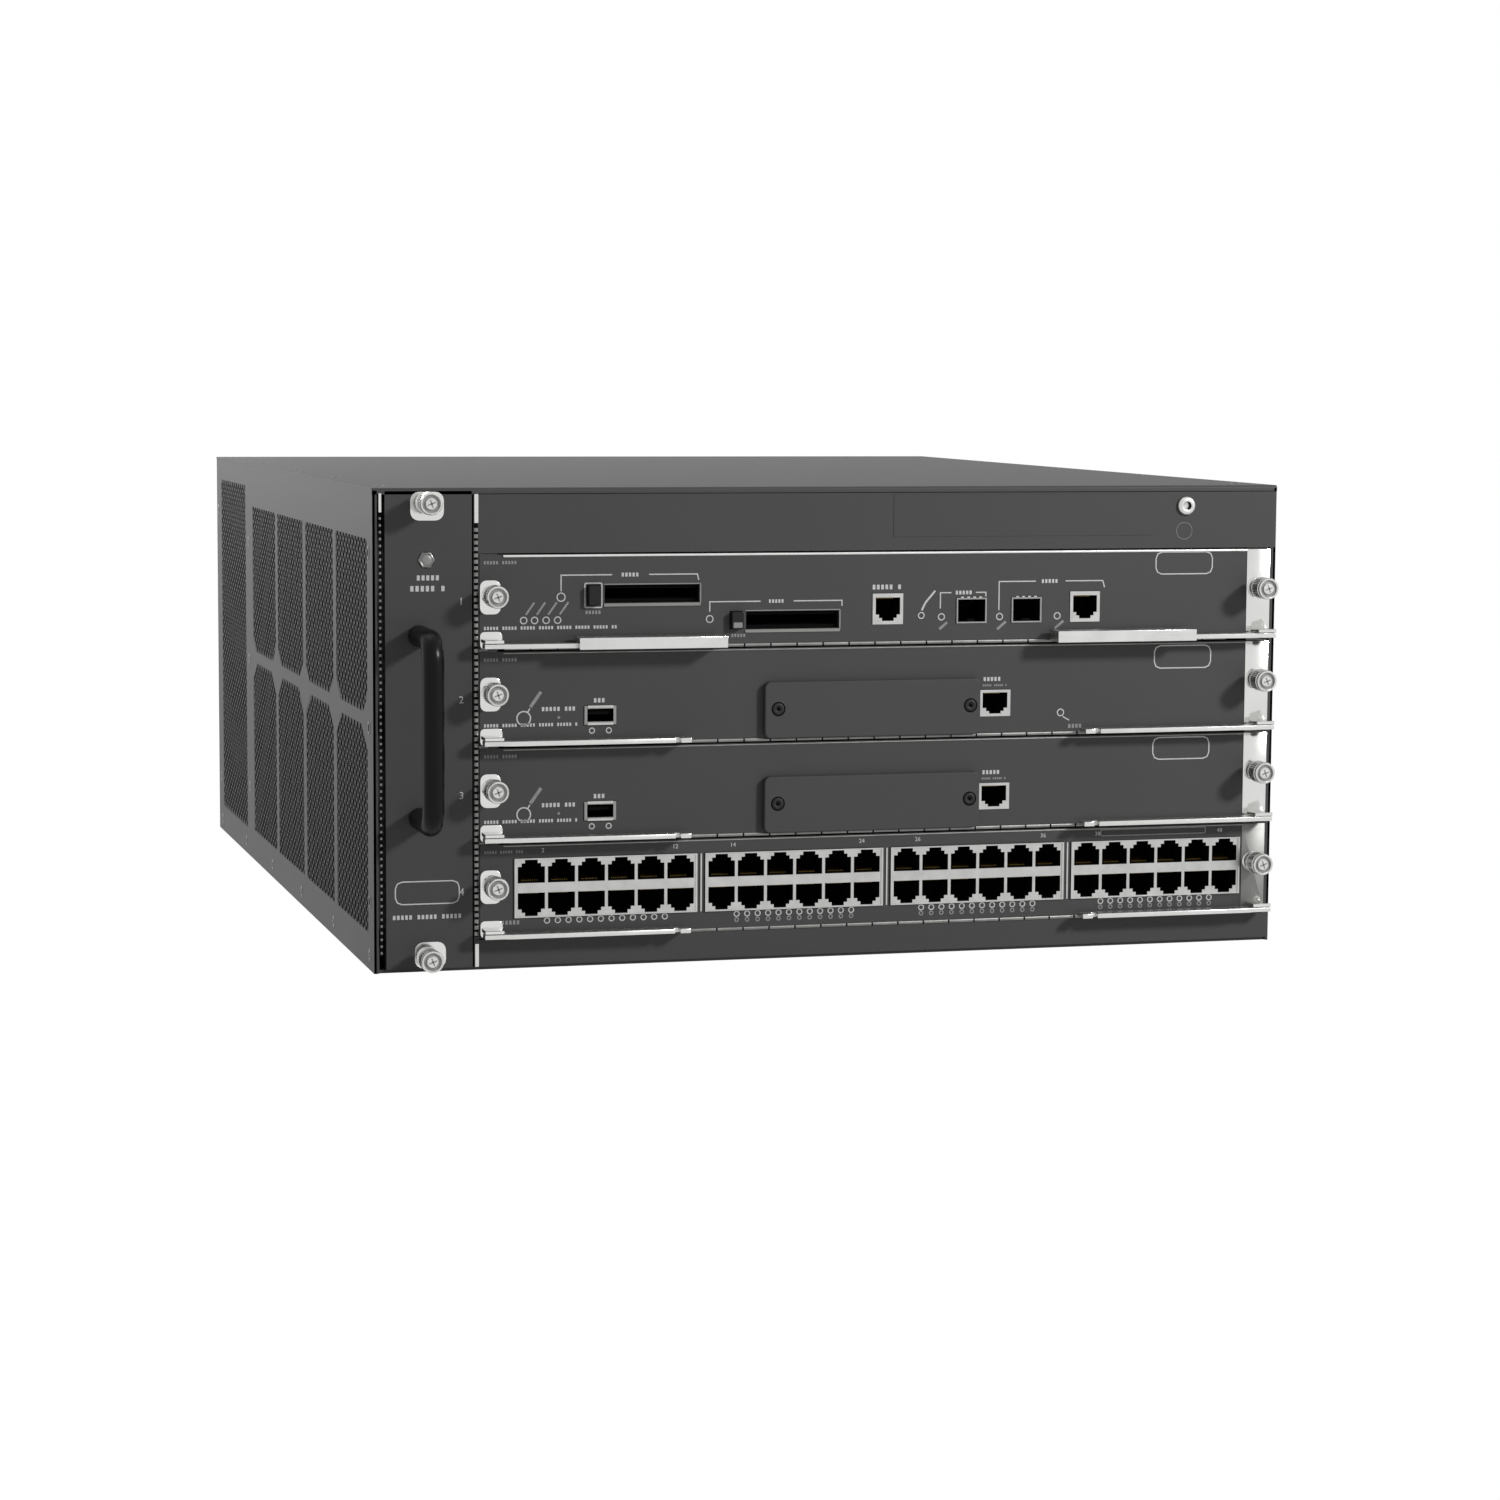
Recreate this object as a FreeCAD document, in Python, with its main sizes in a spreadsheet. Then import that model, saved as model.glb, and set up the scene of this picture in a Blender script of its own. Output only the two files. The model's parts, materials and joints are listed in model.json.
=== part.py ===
import FreeCAD, Part
import math
import os
import re

import Sketcher

# Modular chassis switch: a five-unit rack chassis with a fan tray at the left, four module slots
# at the front and two power supplies at the rear.  Millimetres.  X runs to the right seen from
# the front, Y from front to rear and Z up; the origin is the middle of the chassis's underside.

SIZES = {
    # chassis sheet metal
    "width": 441, "height": 222, "depth": 552, "gauge": 1.5,
    "seam": 0.3, "pan_flange": 12, "cover_lip": 3, "return_depth": 12, "right_return": 2.7,
    # slots and their cage
    "slot_left": 49.5, "face_width": 388.5, "slot_pitch": 44.45, "slot_gap": 1.2, "sill": 14,
    "strip_width": 2.5, "wall_inset": 0.5, "cage_flange": 9, "ledge_overlap": 2.5, "ledge_start": 14,
    "air_slot_width": 80, "air_slot_height": 26, "air_slot_low": 13,
    "power_bay": 140, "backplane_thick": 3, "socket_depth": 10, "socket_height": 12, "socket_width": 90,
    "socket_pitch": 130,
    # perforated windows of the side panels, one pair for each column of fans
    "window_width": 86, "window_low": 17, "split_drop": 1, "window_rib": 9, "window_drop": 23,
    "cell_pitch": 21, "cell_web": 3.4, "window_corner": 14,
    "vent_rear": 20, "vent_width": 105, "vent_low": 15, "vent_drop": 13,
    # fasteners of the chassis
    "side_screw_rise": 7, "side_screw_first": 15, "side_screw_pitch": 105, "side_screw_head": 3,
    "side_screw_shank": 1.45, "side_screw_length": 3.3, "screw_play": 0.05,
    "bracket_hole": 2.1, "bracket_setback": 11, "bracket_low": 32, "bracket_pitch": 80,
    # grounding jack
    "jack_right": 47, "jack_drop": 10, "jack_collar": 4.5, "jack_barrel": 3.2, "jack_bore": 2,
    "jack_proud": 2, "jack_length": 20,
    # fan tray
    "tray_left": 6, "tray_width": 40, "tray_depth": 406, "tray_roof": 3.3, "tray_low": 1.5,
    "fan_size": 92, "fan_depth": 38, "fan_first": 60, "fan_pitch": 98,
    "fan_row_pitch": 95, "fan_bore": 44, "fan_port": 43, "fan_floor": 3, "fan_hub": 18,
    "fan_strut": 5, "fan_strut_root": 1, "bearing_boss": 5, "bearing_end": 9, "shaft": 1.5,
    "shaft_play": 0.05,
    "hub_front": 10.5, "hub_end": 33, "hub_wall": 2, "blade_root": 16.5, "blade_tip": 40,
    "blade_root_half": 7, "blade_tip_half": 13.5, "blade_middle": 21.75, "blade_pitch": 0.68,
    "blade_thick": 1.8, "hub_gap": 0.5,
    "grip_radius": 5, "grip_low": 71, "grip_high": 154.5, "grip_reach": 35, "grip_bend": 9,
    "grip_inset": 15.5, "lens_radius": 3.7, "lens_drop": 33, "lens_inset": 19, "lens_proud": 0.8,
    "tray_screw_inset": 18.7, "tray_screw_rise": 7,
    # captive screws
    "knob_radius": 5.25, "knob_length": 15.5, "knob_neck": 3.2, "knob_neck_length": 3,
    "knob_shaft": 1.7, "knob_reach": 11, "knob_slot": 1.2, "knob_slot_depth": 1.6, "cage_hole": 2.2,
    "face_screw_inset": 5.5, "face_screw_right": 7, "face_screw_rise": 25.3,
    # faceplates
    "lip_depth": 13, "lip_inset": 11.5, "lip_inset_right": 11, "tab_width": 24, "tab_inset": 60,
    "tab_depth": 11, "tab_gauge": 1.2,
    # ejector levers
    "lever_inset": 5, "lever_out": 6, "lever_low": 1.4, "lever_thick": 2.2, "lever_play": 0.3,
    "lever_nose": 4.6, "lever_hub": 4, "lever_chamfer": 1.8, "lever_shoulder": 6, "lever_waist": 12,
    "lever_heel": 8, "lever_pin": 1.5, "pin_play": 0.05, "rivet_head": 2.5,
    "rivet_thick": 0.5, "ear_half": 4.4, "ear_out": 10.3, "blade_length": 92.5, "blade_depth": 5,
    "blade_back": 3, "lever_notch": 85, "notch_width": 2.4, "notch_depth": 4,
    "grip_start": 38.5, "grip_length": 70, "bar_overlap": 2, "bar_low": 0.9, "bar_height": 5.4,
    "bar_depth": 9,
    # circuit boards
    "board_rise": 8.05, "board_thick": 1.6, "board_width": 366, "board_play": 0.3, "chip_height": 6,
    "sink_height": 22, "sink_size": 62, "chip_size": 36,
    # supervisor ports
    "disk_width": 45, "disk_height": 8.2, "disk_depth": 44, "disk_wall": 1.5, "disk_top_left": 58.5,
    "disk_top_rise": 21.2, "disk_low_left": 126, "disk_low_rise": 8.3, "key_width": 5.6,
    "key_top_left": 50.4, "key_top_rise": 20.4, "key_top_height": 9, "key_low_left": 118.4,
    "key_low_rise": 8.5, "key_low_height": 8, "key_round": 0.8, "key_play": 0.3, "key_proud": 3.5,
    "key_length": 30, "bay_play": 2, "port_wall": 1.2, "port_play": 0.2, "port_depth": 20,
    "net_width": 15, "net_height": 14.5, "console_left": 187.5, "net_left": 286, "cage_width": 15, "cage_height": 12,
    "cage_one_left": 229, "cage_two_left": 256.5,
    # service module ports and cover
    "usb_left": 49, "usb_width": 15, "usb_height": 8.6, "link_left": 241, "link_width": 15.5,
    "link_height": 12.6, "cover_left": 134.5, "cover_width": 106, "cover_rise": 1.6,
    "cover_height": 26.5, "cover_proud": 3.5, "cover_corner": 3,
    # jack banks of the access module
    "bank_left": 16, "bank_width": 87, "bank_pitch": 90.8, "bank_height": 27.6, "bank_depth": 22,
    "socket_bore_width": 11.7, "socket_bore_height": 9, "socket_bore_depth": 15, "bore_pitch": 14.2,
    "bore_low": 2.6, "bore_high": 16.4,
    # power supplies
    "supply_width": 205, "supply_height": 132, "supply_depth": 134, "supply_gap": 6, "supply_play": 0.5,
    "inlet_width": 30, "inlet_height": 22, "inlet_depth": 18, "inlet_left": 24, "inlet_rise": 22,
    "well_width": 13, "well_height": 19.4, "well_depth": 12, "well_left": 76, "well_rise": 24,
    "rocker_width": 11.6, "rocker_axis": 4, "rocker_pin": 1, "rocker_back": 4, "rocker_back_half": 7,
    "rocker_rise": 3.5, "rocker_half": 8.5, "rocker_dip": 2.2, "strap_left": 168,
    "strap_width": 20,
    "strap_low": 18, "strap_high": 114, "strap_reach": 30, "strap_thick": 3,
}

DERIVED = {
    "half": "width / 2",
    "front": "-depth / 2",
    "rear": "depth / 2",
    "inner": "half - gauge",
    "ceiling": "height - gauge",
    "slot_x": "slot_left - half",
    "slots_top": "sill + 4 * slot_pitch",
    "slot_one": "sill + 3 * slot_pitch",
    "slot_two": "sill + 2 * slot_pitch",
    "slot_three": "sill + slot_pitch",
    "slot_four": "sill + 0",
    "face_low": "slot_gap / 2",
    "face_high": "slot_pitch - slot_gap / 2",
    "strip_x": "slot_x - seam - strip_width",
    "left_wall": "slot_x - wall_inset",
    "right_wall": "slot_x + face_width - wall_inset - gauge",
    "backplane_y": "rear - power_bay - backplane_thick",
    "board_left": "(left_wall + right_wall - board_width) / 2 - slot_x",
    "board_right": "board_left + board_width",
    "board_depth": "backplane_y - socket_depth - board_play - front",
    "board_top": "board_rise + board_thick",
    "ledge_rise": "board_rise - board_play",
    "tray_x": "tray_left - half",
    "tray_floor": "gauge + seam",
    "tray_ceiling": "height - tray_roof",
    "tray_screw_top": "height - tray_screw_rise",
    "lens_rise": "height - lens_drop",
    "fan_low": "(height - fan_row_pitch) / 2",
    "window_split": "height / 2 - split_drop",
    "window_high": "height - window_drop",
    "vent_high": "height - vent_drop",
    "ear_low": "lever_low + lever_thick + lever_play",
    "right_lever": "face_width - lever_inset",
    "right_screw": "face_width - face_screw_right",
    "supply_left": "-supply_gap / 2 - supply_width",
    "supply_right": "supply_gap / 2",
    "opening_top": "gauge + seam + supply_height + supply_play",
}

doc = FreeCAD.newDocument("modular_chassis_switch")
sheet = doc.addObject("Spreadsheet::Sheet", "sizes")


def fill_sheet():
    """Write every size as a plain number, and every derived size as a formula, with its alias."""
    rows = [(name, str(value)) for name, value in SIZES.items()]
    rows += [(name, "=" + formula) for name, formula in DERIVED.items()]
    for row, (name, text) in enumerate(rows, start=1):
        sheet.set("A%d" % row, name)
        sheet.set("B%d" % row, text)
        sheet.setAlias("B%d" % row, name)
    doc.recompute()


def size(name):
    """The value of one size, for the pieces that are shaped by Part's own functions."""
    return float(sheet.get(name))


def bound(formula):
    """The formula with each size's name written as the spreadsheet's."""
    def with_sheet(match):
        word = match.group()
        return "sizes." + word if word in SIZES or word in DERIVED else word
    return re.sub(r"[a-z_]+", with_sheet, str(formula))


def new_body(label, x="0", y="0", z="0"):
    """An empty body whose origin lies at a bound place."""
    body = doc.addObject("PartDesign::Body", label)
    body.Label = label
    for axis, formula in zip("xyz", (x, y, z)):
        body.setExpression("Placement.Base." + axis, bound(formula))
    return body


def origin_item(body, role):
    """One plane or axis of a body's origin."""
    return next(item for item in body.Origin.OriginFeatures if item.Role == role)


def sketch_on(body, plane, at="0"):
    """A sketch parallel to an origin plane, at a bound distance along the plane's axis."""
    sketch = body.newObject("Sketcher::SketchObject", body.Name + "_sketch")
    sketch.AttachmentSupport = [(origin_item(body, plane + "_Plane"), "")]
    sketch.MapMode = "FlatFace"
    sign = "-" if plane == "XZ" else ""
    if at != "0":
        sketch.setExpression("AttachmentOffset.Base.z", bound("%s(%s)" % (sign, at)))
    return sketch


def pin_point(sketch, geometry, end, x, y):
    """Hold one point of a sketch at bound distances from the sketch's origin."""
    for kind, formula in (("DistanceX", x), ("DistanceY", y)):
        index = sketch.addConstraint(Sketcher.Constraint(kind, -1, 1, geometry, end, 1.0))
        sketch.setExpression("Constraints[%d]" % index, bound(formula))


def polygon(sketch, corners):
    """A closed outline through bound corners."""
    first = sketch.GeometryCount
    count = len(corners)
    turn = 2 * math.pi / count
    spots = [FreeCAD.Vector(math.cos(turn * k), math.sin(turn * k), 0) for k in range(count)]
    for k in range(count):
        sketch.addGeometry(Part.LineSegment(spots[k], spots[(k + 1) % count]), False)
    for k in range(count):
        after = first + (k + 1) % count
        sketch.addConstraint(Sketcher.Constraint("Coincident", first + k, 2, after, 1))
        pin_point(sketch, first + k, 1, *corners[k])


def rectangle(sketch, left, low, right, high):
    """An upright rectangle between two bound corners."""
    polygon(sketch, [(left, low), (right, low), (right, high), (left, high)])


def circle(sketch, x, y, radius):
    """A bound circle."""
    ring = Part.Circle(FreeCAD.Vector(0, 0, 0), FreeCAD.Vector(0, 0, 1), 1)
    index = sketch.addGeometry(ring, False)
    pin_point(sketch, index, 3, x, y)
    radius_index = sketch.addConstraint(Sketcher.Constraint("Radius", index, 1.0))
    sketch.setExpression("Constraints[%d]" % radius_index, bound(radius))


def plane_of(sketch):
    """The name of the origin plane that a sketch lies on."""
    return sketch.AttachmentSupport[0][0].Role[:2]


def pad(body, sketch, length, towards=1):
    """Raise a sketch along its plane's axis, towards +1 or -1."""
    feature = body.newObject("PartDesign::Pad", body.Name + "_pad")
    feature.Profile = sketch
    feature.setExpression("Length", bound(length))
    feature.Reversed = (plane_of(sketch) == "XZ") == (towards > 0)
    return feature


def pocket(body, sketch, length=None, towards=1):
    """Cut a sketch along its plane's axis, or right through both ways without a length."""
    feature = body.newObject("PartDesign::Pocket", body.Name + "_pocket")
    feature.Profile = sketch
    if length is None:
        feature.Type = "ThroughAll"
        feature.SideType = "Symmetric"
    else:
        feature.setExpression("Length", bound(length))
        feature.Reversed = (plane_of(sketch) != "XZ") == (towards > 0)
    return feature


def revolve(body, sketch, axis):
    """Turn a sketch right round one of its own axes."""
    feature = body.newObject("PartDesign::Revolution", body.Name + "_turned")
    feature.Profile = sketch
    feature.ReferenceAxis = (sketch, [axis])
    feature.Angle = 360
    return feature


def repeat(body, axis, length, count, features=None):
    """Repeat some features, or the whole body, along an origin axis over a bound length."""
    feature = body.newObject("PartDesign::LinearPattern", body.Name + "_row")
    if features is None:
        feature.TransformMode = "Whole shape"
    else:
        feature.Originals = features
    feature.Direction = (origin_item(body, axis + "_Axis"), [""])
    feature.setExpression("Length", bound(length))
    feature.Occurrences = count
    body.Tip = feature
    return feature


def round_edges(body, radius, axis):
    """Round every straight edge of the body that runs along an axis."""
    doc.recompute()
    base = body.Tip
    direction = FreeCAD.Vector(*(1 if name == axis else 0 for name in "XYZ"))
    names = []
    for number, edge in enumerate(base.Shape.Edges, start=1):
        straight = isinstance(edge.Curve, Part.Line)
        if straight and abs(edge.tangentAt(edge.FirstParameter).dot(direction)) > 0.999:
            names.append("Edge%d" % number)
    feature = body.newObject("PartDesign::Fillet", body.Name + "_round")
    feature.Base = (base, names)
    feature.setExpression("Radius", bound(radius))
    return feature


def sheet_between(label, plane, at, corners, place=("0", "0", "0"), thick="gauge"):
    """A body that is one flat plate, raised from a closed outline."""
    body = new_body(label, *place)
    outline = sketch_on(body, plane, at)
    polygon(outline, corners)
    pad(body, outline, thick)
    return body


# ---------------------------------------------------------------- chassis

def bottom_pan():
    """The floor, folded up at both sides, with holes for the side screws."""
    body = new_body("bottom_pan", y="front + gauge")
    fold = sketch_on(body, "XZ")
    polygon(fold, [("-inner", "0"), ("inner", "0"), ("inner", "pan_flange"),
                   ("inner - gauge", "pan_flange"), ("inner - gauge", "gauge"),
                   ("gauge - inner", "gauge"), ("gauge - inner", "pan_flange"),
                   ("-inner", "pan_flange")])
    pad(body, fold, "depth - 2 * gauge")
    holes = sketch_on(body, "YZ")
    circle(holes, "depth - gauge - side_screw_first", "side_screw_rise", "side_screw_shank + screw_play")
    cut = pocket(body, holes)
    row = repeat(body, "Y", "5 * side_screw_pitch", 6, [cut])
    row.Reversed = True


def top_cover():
    """The lid, with a lip folded down over the header."""
    body = new_body("top_cover", z="ceiling")
    lid = sketch_on(body, "XY")
    rectangle(lid, "-half", "front", "half", "rear")
    pad(body, lid, "gauge")
    lip = sketch_on(body, "XZ", "front")
    rectangle(lip, "strip_x", "-cover_lip + gauge", "inner", "0")
    pad(body, lip, "gauge")


def front_frame():
    """The riveted front frame: header, narrow left strip and sill, with returns over and under the slots."""
    body = new_body("front_frame", y="front")
    header = sketch_on(body, "XZ")
    rectangle(header, "strip_x", "slots_top", "inner", "height - cover_lip")
    circle(header, "half - jack_right", "height - jack_drop", "jack_barrel + screw_play")
    pad(body, header, "gauge")
    strip = sketch_on(body, "XZ")
    rectangle(strip, "strip_x", "sill + seam", "slot_x - seam", "slots_top - seam")
    pad(body, strip, "gauge")
    sill = sketch_on(body, "XZ")
    rectangle(sill, "strip_x", "gauge", "inner", "sill")
    pad(body, sill, "gauge")
    for low in ("sill - gauge", "slots_top"):
        fold = sketch_on(body, "XZ", "gauge")
        rectangle(fold, "slot_x", low, "right_wall", "%s + gauge" % low)
        pad(body, fold, "return_depth")


def rear_panel():
    """The rear sheet, open from below for the two supplies."""
    low, high, play = "gauge", "opening_top", "supply_play"
    outline = [("-inner", low)]
    for left in ("supply_left", "supply_right"):
        outline += [(left + " - " + play, low), (left + " - " + play, high),
                    (left + " + supply_width + " + play, high), (left + " + supply_width + " + play, low)]
    outline += [("inner", low), ("inner", "ceiling"), ("-inner", "ceiling")]
    sheet_between("rear_panel", "XZ", "0", outline, place=("0", "rear - gauge", "0"))


def cells(left, low, right, high, corner):
    """Centres of the honeycomb cells that fit a window with cut corners."""
    pitch = size("cell_pitch")
    rise = pitch * math.sqrt(3) / 2
    middle_y, middle_z = (left + right) / 2, (low + high) / 2
    half_y, half_z = (right - left) / 2, (high - low) / 2
    reach = (pitch - size("cell_web")) / math.sqrt(3)
    rows = int((half_z - reach) / rise + 1e-6)
    columns = int(2 * half_y / pitch) + 1
    found = []
    for row in range(-rows, rows + 1):
        shift = pitch / 2 if row % 2 else 0
        for column in range(-columns, columns + 1):
            y, z = column * pitch + shift, row * rise
            inside = abs(y) + (pitch - size("cell_web")) / 2 <= half_y
            if inside and abs(y) + abs(z) <= half_y + half_z - corner - reach:
                found.append((middle_y + y, middle_z + z))
    return found


def windows(with_vent):
    """The windows of a side panel, one above the other at each column of fans."""
    first = size("front") + size("fan_first") - size("window_width") / 2
    found = []
    for column in range(4):
        left = first + column * size("fan_pitch")
        right = left + size("window_width")
        upper_low = size("window_split") + size("window_rib")
        found.append((left, size("window_low"), right, size("window_split"), size("window_corner")))
        found.append((left, upper_low, right, size("window_high"), size("window_corner")))
    if with_vent:
        right = size("rear") - size("vent_rear")
        found.append((right - size("vent_width"), size("vent_low"), right, size("vent_high"), 0))
    return found


def side_panel(label, side, flange, flange_low, flange_high, with_vent):
    """A perforated side sheet with a front return; side is -1 at the left and +1 at the right."""
    outer = side * size("half")
    gauge, front, rear, top = size("gauge"), size("front"), size("rear"), size("ceiling")
    corners = [(front, 0), (rear, 0), (rear, top), (front, top), (front, 0)]
    wires = [Part.makePolygon([FreeCAD.Vector(outer, y, z) for y, z in corners])]
    reach = (size("cell_pitch") - size("cell_web")) / math.sqrt(3)
    for window in windows(with_vent):
        for y, z in cells(*window):
            turns = [math.radians(30 + 60 * k) for k in range(7)]
            ring = [(y + reach * math.cos(a), z + reach * math.sin(a)) for a in turns]
            wires.append(Part.makePolygon([FreeCAD.Vector(outer, *point) for point in ring]))
    across = FreeCAD.Vector(side, 0, 0)
    for k in range(3):
        centre = FreeCAD.Vector(outer, front + size("bracket_setback"),
                                size("bracket_low") + k * size("bracket_pitch"))
        wires.append(Part.Wire(Part.Circle(centre, across, size("bracket_hole")).toShape()))
    panel = Part.Face(wires, "Part::FaceMakerBullseye").extrude(across * -gauge)
    fold = Part.makeBox(flange, gauge, flange_high - flange_low)
    fold.translate(FreeCAD.Vector(outer if side < 0 else outer - flange, front, flange_low))
    seats = []
    for k in range(6):
        y = rear - size("side_screw_first") - k * size("side_screw_pitch")
        seats.append(Part.makeCone(size("side_screw_head") + size("screw_play"),
                                   size("side_screw_shank") + size("screw_play"), gauge,
                                   FreeCAD.Vector(outer, y, size("side_screw_rise")), across * -1))
    feature = doc.addObject("Part::Feature", label)
    feature.Label = label
    feature.Shape = panel.fuse(fold).removeSplitter().cut(seats)
    feature.Placement = FreeCAD.Placement()


def cage_wall(label, wall, side, screw_x):
    """A wall of the card cage: air slots, ledges under the boards and a flange for the screws."""
    body = new_body(label, wall, "front + gauge", "gauge")
    plate = sketch_on(body, "YZ")
    rectangle(plate, "0", "0", "backplane_y - front - gauge", "ceiling - gauge")
    pad(body, plate, "gauge")
    air = sketch_on(body, "YZ")
    for column in range(4):
        left = "fan_first - gauge + %d * fan_pitch - air_slot_width / 2" % column
        low = "sill - gauge + air_slot_low"
        rectangle(air, left, low, left + " + air_slot_width", low + " + air_slot_height")
    cut = pocket(body, air)
    repeat(body, "Z", "3 * slot_pitch", 4, [cut])
    inside = "gauge" if side > 0 else "0"
    flange = sketch_on(body, "XZ", "seam")
    low, high = "sill + seam", "slots_top - gauge - seam"
    rectangle(flange, inside, low, "%s + %d * cage_flange" % (inside, side), high)
    for slot in ("slot_one", "slot_two", "slot_three", "slot_four"):
        circle(flange, "%s - (%s)" % (screw_x, wall), slot + " + face_screw_rise - gauge", "cage_hole")
    pad(body, flange, "gauge")
    ledge = sketch_on(body, "XY", "sill - 2 * gauge + ledge_rise")
    edge = "slot_x + board_left + ledge_overlap" if side > 0 else "slot_x + board_right - ledge_overlap"
    rectangle(ledge, inside, "ledge_start", "%s - (%s)" % (edge, wall), "board_depth - gauge")
    shelf = pad(body, ledge, "gauge")
    repeat(body, "Z", "3 * slot_pitch", 4, [shelf])


def backplane():
    """The board across the back of the cage, with three sockets for each slot."""
    body = new_body("backplane", "left_wall", "backplane_y", "gauge")
    plate = sketch_on(body, "XZ")
    rectangle(plate, "0", "0", "right_wall - left_wall", "ceiling - gauge")
    pad(body, plate, "backplane_thick")
    row = sketch_on(body, "XZ")
    low = "sill - gauge + board_rise - socket_height / 2 + board_thick / 2"
    for k in (-1, 0, 1):
        middle = "(right_wall - left_wall) / 2 + %d * socket_pitch" % k
        rectangle(row, middle + " - socket_width / 2", low, middle + " + socket_width / 2",
                  low + " + socket_height")
    sockets = pad(body, row, "socket_depth", towards=-1)
    repeat(body, "Z", "3 * slot_pitch", 4, [sockets])


def esd_jack():
    """The bored grounding jack, collar outside and barrel through the header."""
    body = new_body("esd_jack", "half - jack_right", "front", "height - jack_drop")
    profile = sketch_on(body, "XY")
    polygon(profile, [("jack_bore", "-jack_proud"), ("jack_collar", "-jack_proud"), ("jack_collar", "0"),
                      ("jack_barrel", "0"), ("jack_barrel", "jack_length"), ("jack_bore", "jack_length")])
    revolve(body, profile, "V_Axis")


def chassis_screws():
    """Two rows of countersunk screws that hold the side panels to the pan."""
    body = new_body("chassis_screws", y="rear - side_screw_first", z="side_screw_rise")
    profile = sketch_on(body, "XY")
    polygon(profile, [("-half", "0"), ("-half", "side_screw_head"), ("-inner", "side_screw_shank"),
                      ("side_screw_length - half", "side_screw_shank"), ("side_screw_length - half", "0")])
    revolve(body, profile, "H_Axis")
    row = repeat(body, "Y", "5 * side_screw_pitch", 6)
    row.Reversed = True
    both = body.newObject("PartDesign::Mirrored", "chassis_screws_pair")
    both.TransformMode = "Whole shape"
    both.MirrorPlane = (origin_item(body, "YZ_Plane"), [""])
    body.Tip = both


# ---------------------------------------------------------------- captive screws and levers

def captive_screw(label, x, z):
    """A knob with a slot across its end, on a shaft that goes through the faceplate."""
    body = new_body(label, x, "front", z)
    profile = sketch_on(body, "XY")
    outer = "-seam - knob_length"
    polygon(profile, [("0", outer), ("knob_radius", outer), ("knob_radius", "-seam - knob_neck_length"),
                      ("knob_neck", "-seam - knob_neck_length"), ("knob_neck", "-seam"),
                      ("knob_shaft", "-seam"), ("knob_shaft", "knob_reach"), ("0", "knob_reach")])
    revolve(body, profile, "V_Axis")
    slot = sketch_on(body, "XZ", outer)
    rectangle(slot, "-2 * knob_radius", "-knob_slot / 2", "2 * knob_radius", "knob_slot / 2")
    pocket(body, slot, "knob_slot_depth")


def lever(label, slot, x, side, with_bar):
    """An ejector lever that turns about an upright pin; side is +1 at the left, -1 at the right."""
    body = new_body(label, "slot_x + " + x, "front - lever_out", slot)
    low = "lever_low"
    arm = sketch_on(body, "XY", low)
    reach = "grip_start + bar_overlap" if with_bar else "blade_length"
    outline = [("-lever_nose", "-lever_hub"), ("-lever_nose", "lever_chamfer"), ("0", "lever_hub"),
               ("lever_shoulder", "lever_hub"), ("lever_waist", "blade_back"), (reach, "blade_back"),
               (reach, "-blade_depth"), ("lever_heel", "-blade_depth"), ("lever_hub", "-lever_hub")]
    polygon(arm, [("%d * (%s)" % (side, x_place), y_place) for x_place, y_place in outline])
    pad(body, arm, "lever_thick")
    if with_bar:
        bar = sketch_on(body, "XY", "bar_low")
        near, far = "%d * grip_start" % side, "%d * (grip_start + grip_length)" % side
        rectangle(bar, near, "-bar_depth", far, "blade_back")
        pad(body, bar, "bar_height")
    else:
        notch = sketch_on(body, "XY", low)
        rectangle(notch, "%d * lever_notch" % side, "-blade_depth",
                  "%d * (lever_notch + notch_width)" % side, "notch_depth - blade_depth")
        pocket(body, notch, "lever_thick")
    bore = sketch_on(body, "XY", low)
    circle(bore, "0", "0", "lever_pin + pin_play")
    pocket(body, bore)


# ---------------------------------------------------------------- modules

def faceplate(label, slot, openings, holes=()):
    """A folded faceplate: openings, two lips, board tabs, and an ear with a riveted pin a side."""
    body = new_body(label, "slot_x", "front", slot)
    face = sketch_on(body, "XZ")
    rectangle(face, "0", "face_low", "face_width", "face_high")
    for left, low, wide, high in openings:
        rectangle(face, left, low, "%s + %s" % (left, wide), "%s + %s" % (low, high))
    for x, z, radius in holes:
        circle(face, x, z, radius)
    for x in ("face_screw_inset", "right_screw"):
        circle(face, x, "face_screw_rise", "knob_shaft + screw_play")
    pad(body, face, "gauge")
    for low in ("face_low", "face_high - tab_gauge"):
        lip = sketch_on(body, "XZ", "gauge")
        rectangle(lip, "lip_inset", low, "face_width - lip_inset_right", low + " + tab_gauge")
        pad(body, lip, "lip_depth")
    tabs = sketch_on(body, "XZ", "gauge")
    for left in ("board_left + tab_inset", "board_right - tab_inset - tab_width"):
        rectangle(tabs, left, "board_rise - tab_gauge", left + " + tab_width", "board_rise")
    pad(body, tabs, "tab_depth")
    for x in ("lever_inset", "right_lever"):
        ear = sketch_on(body, "XY", "ear_low")
        rectangle(ear, x + " - ear_half", "-ear_out", x + " + ear_half", "0")
        pad(body, ear, "gauge")
        pin = sketch_on(body, "XY", "ear_low")
        circle(pin, x, "-lever_out", "lever_pin")
        pad(body, pin, "ear_low - face_low", towards=-1)
        head = sketch_on(body, "XY", "face_low")
        circle(head, x, "-lever_out", "rivet_head")
        pad(body, head, "rivet_thick")
    return body


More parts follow.
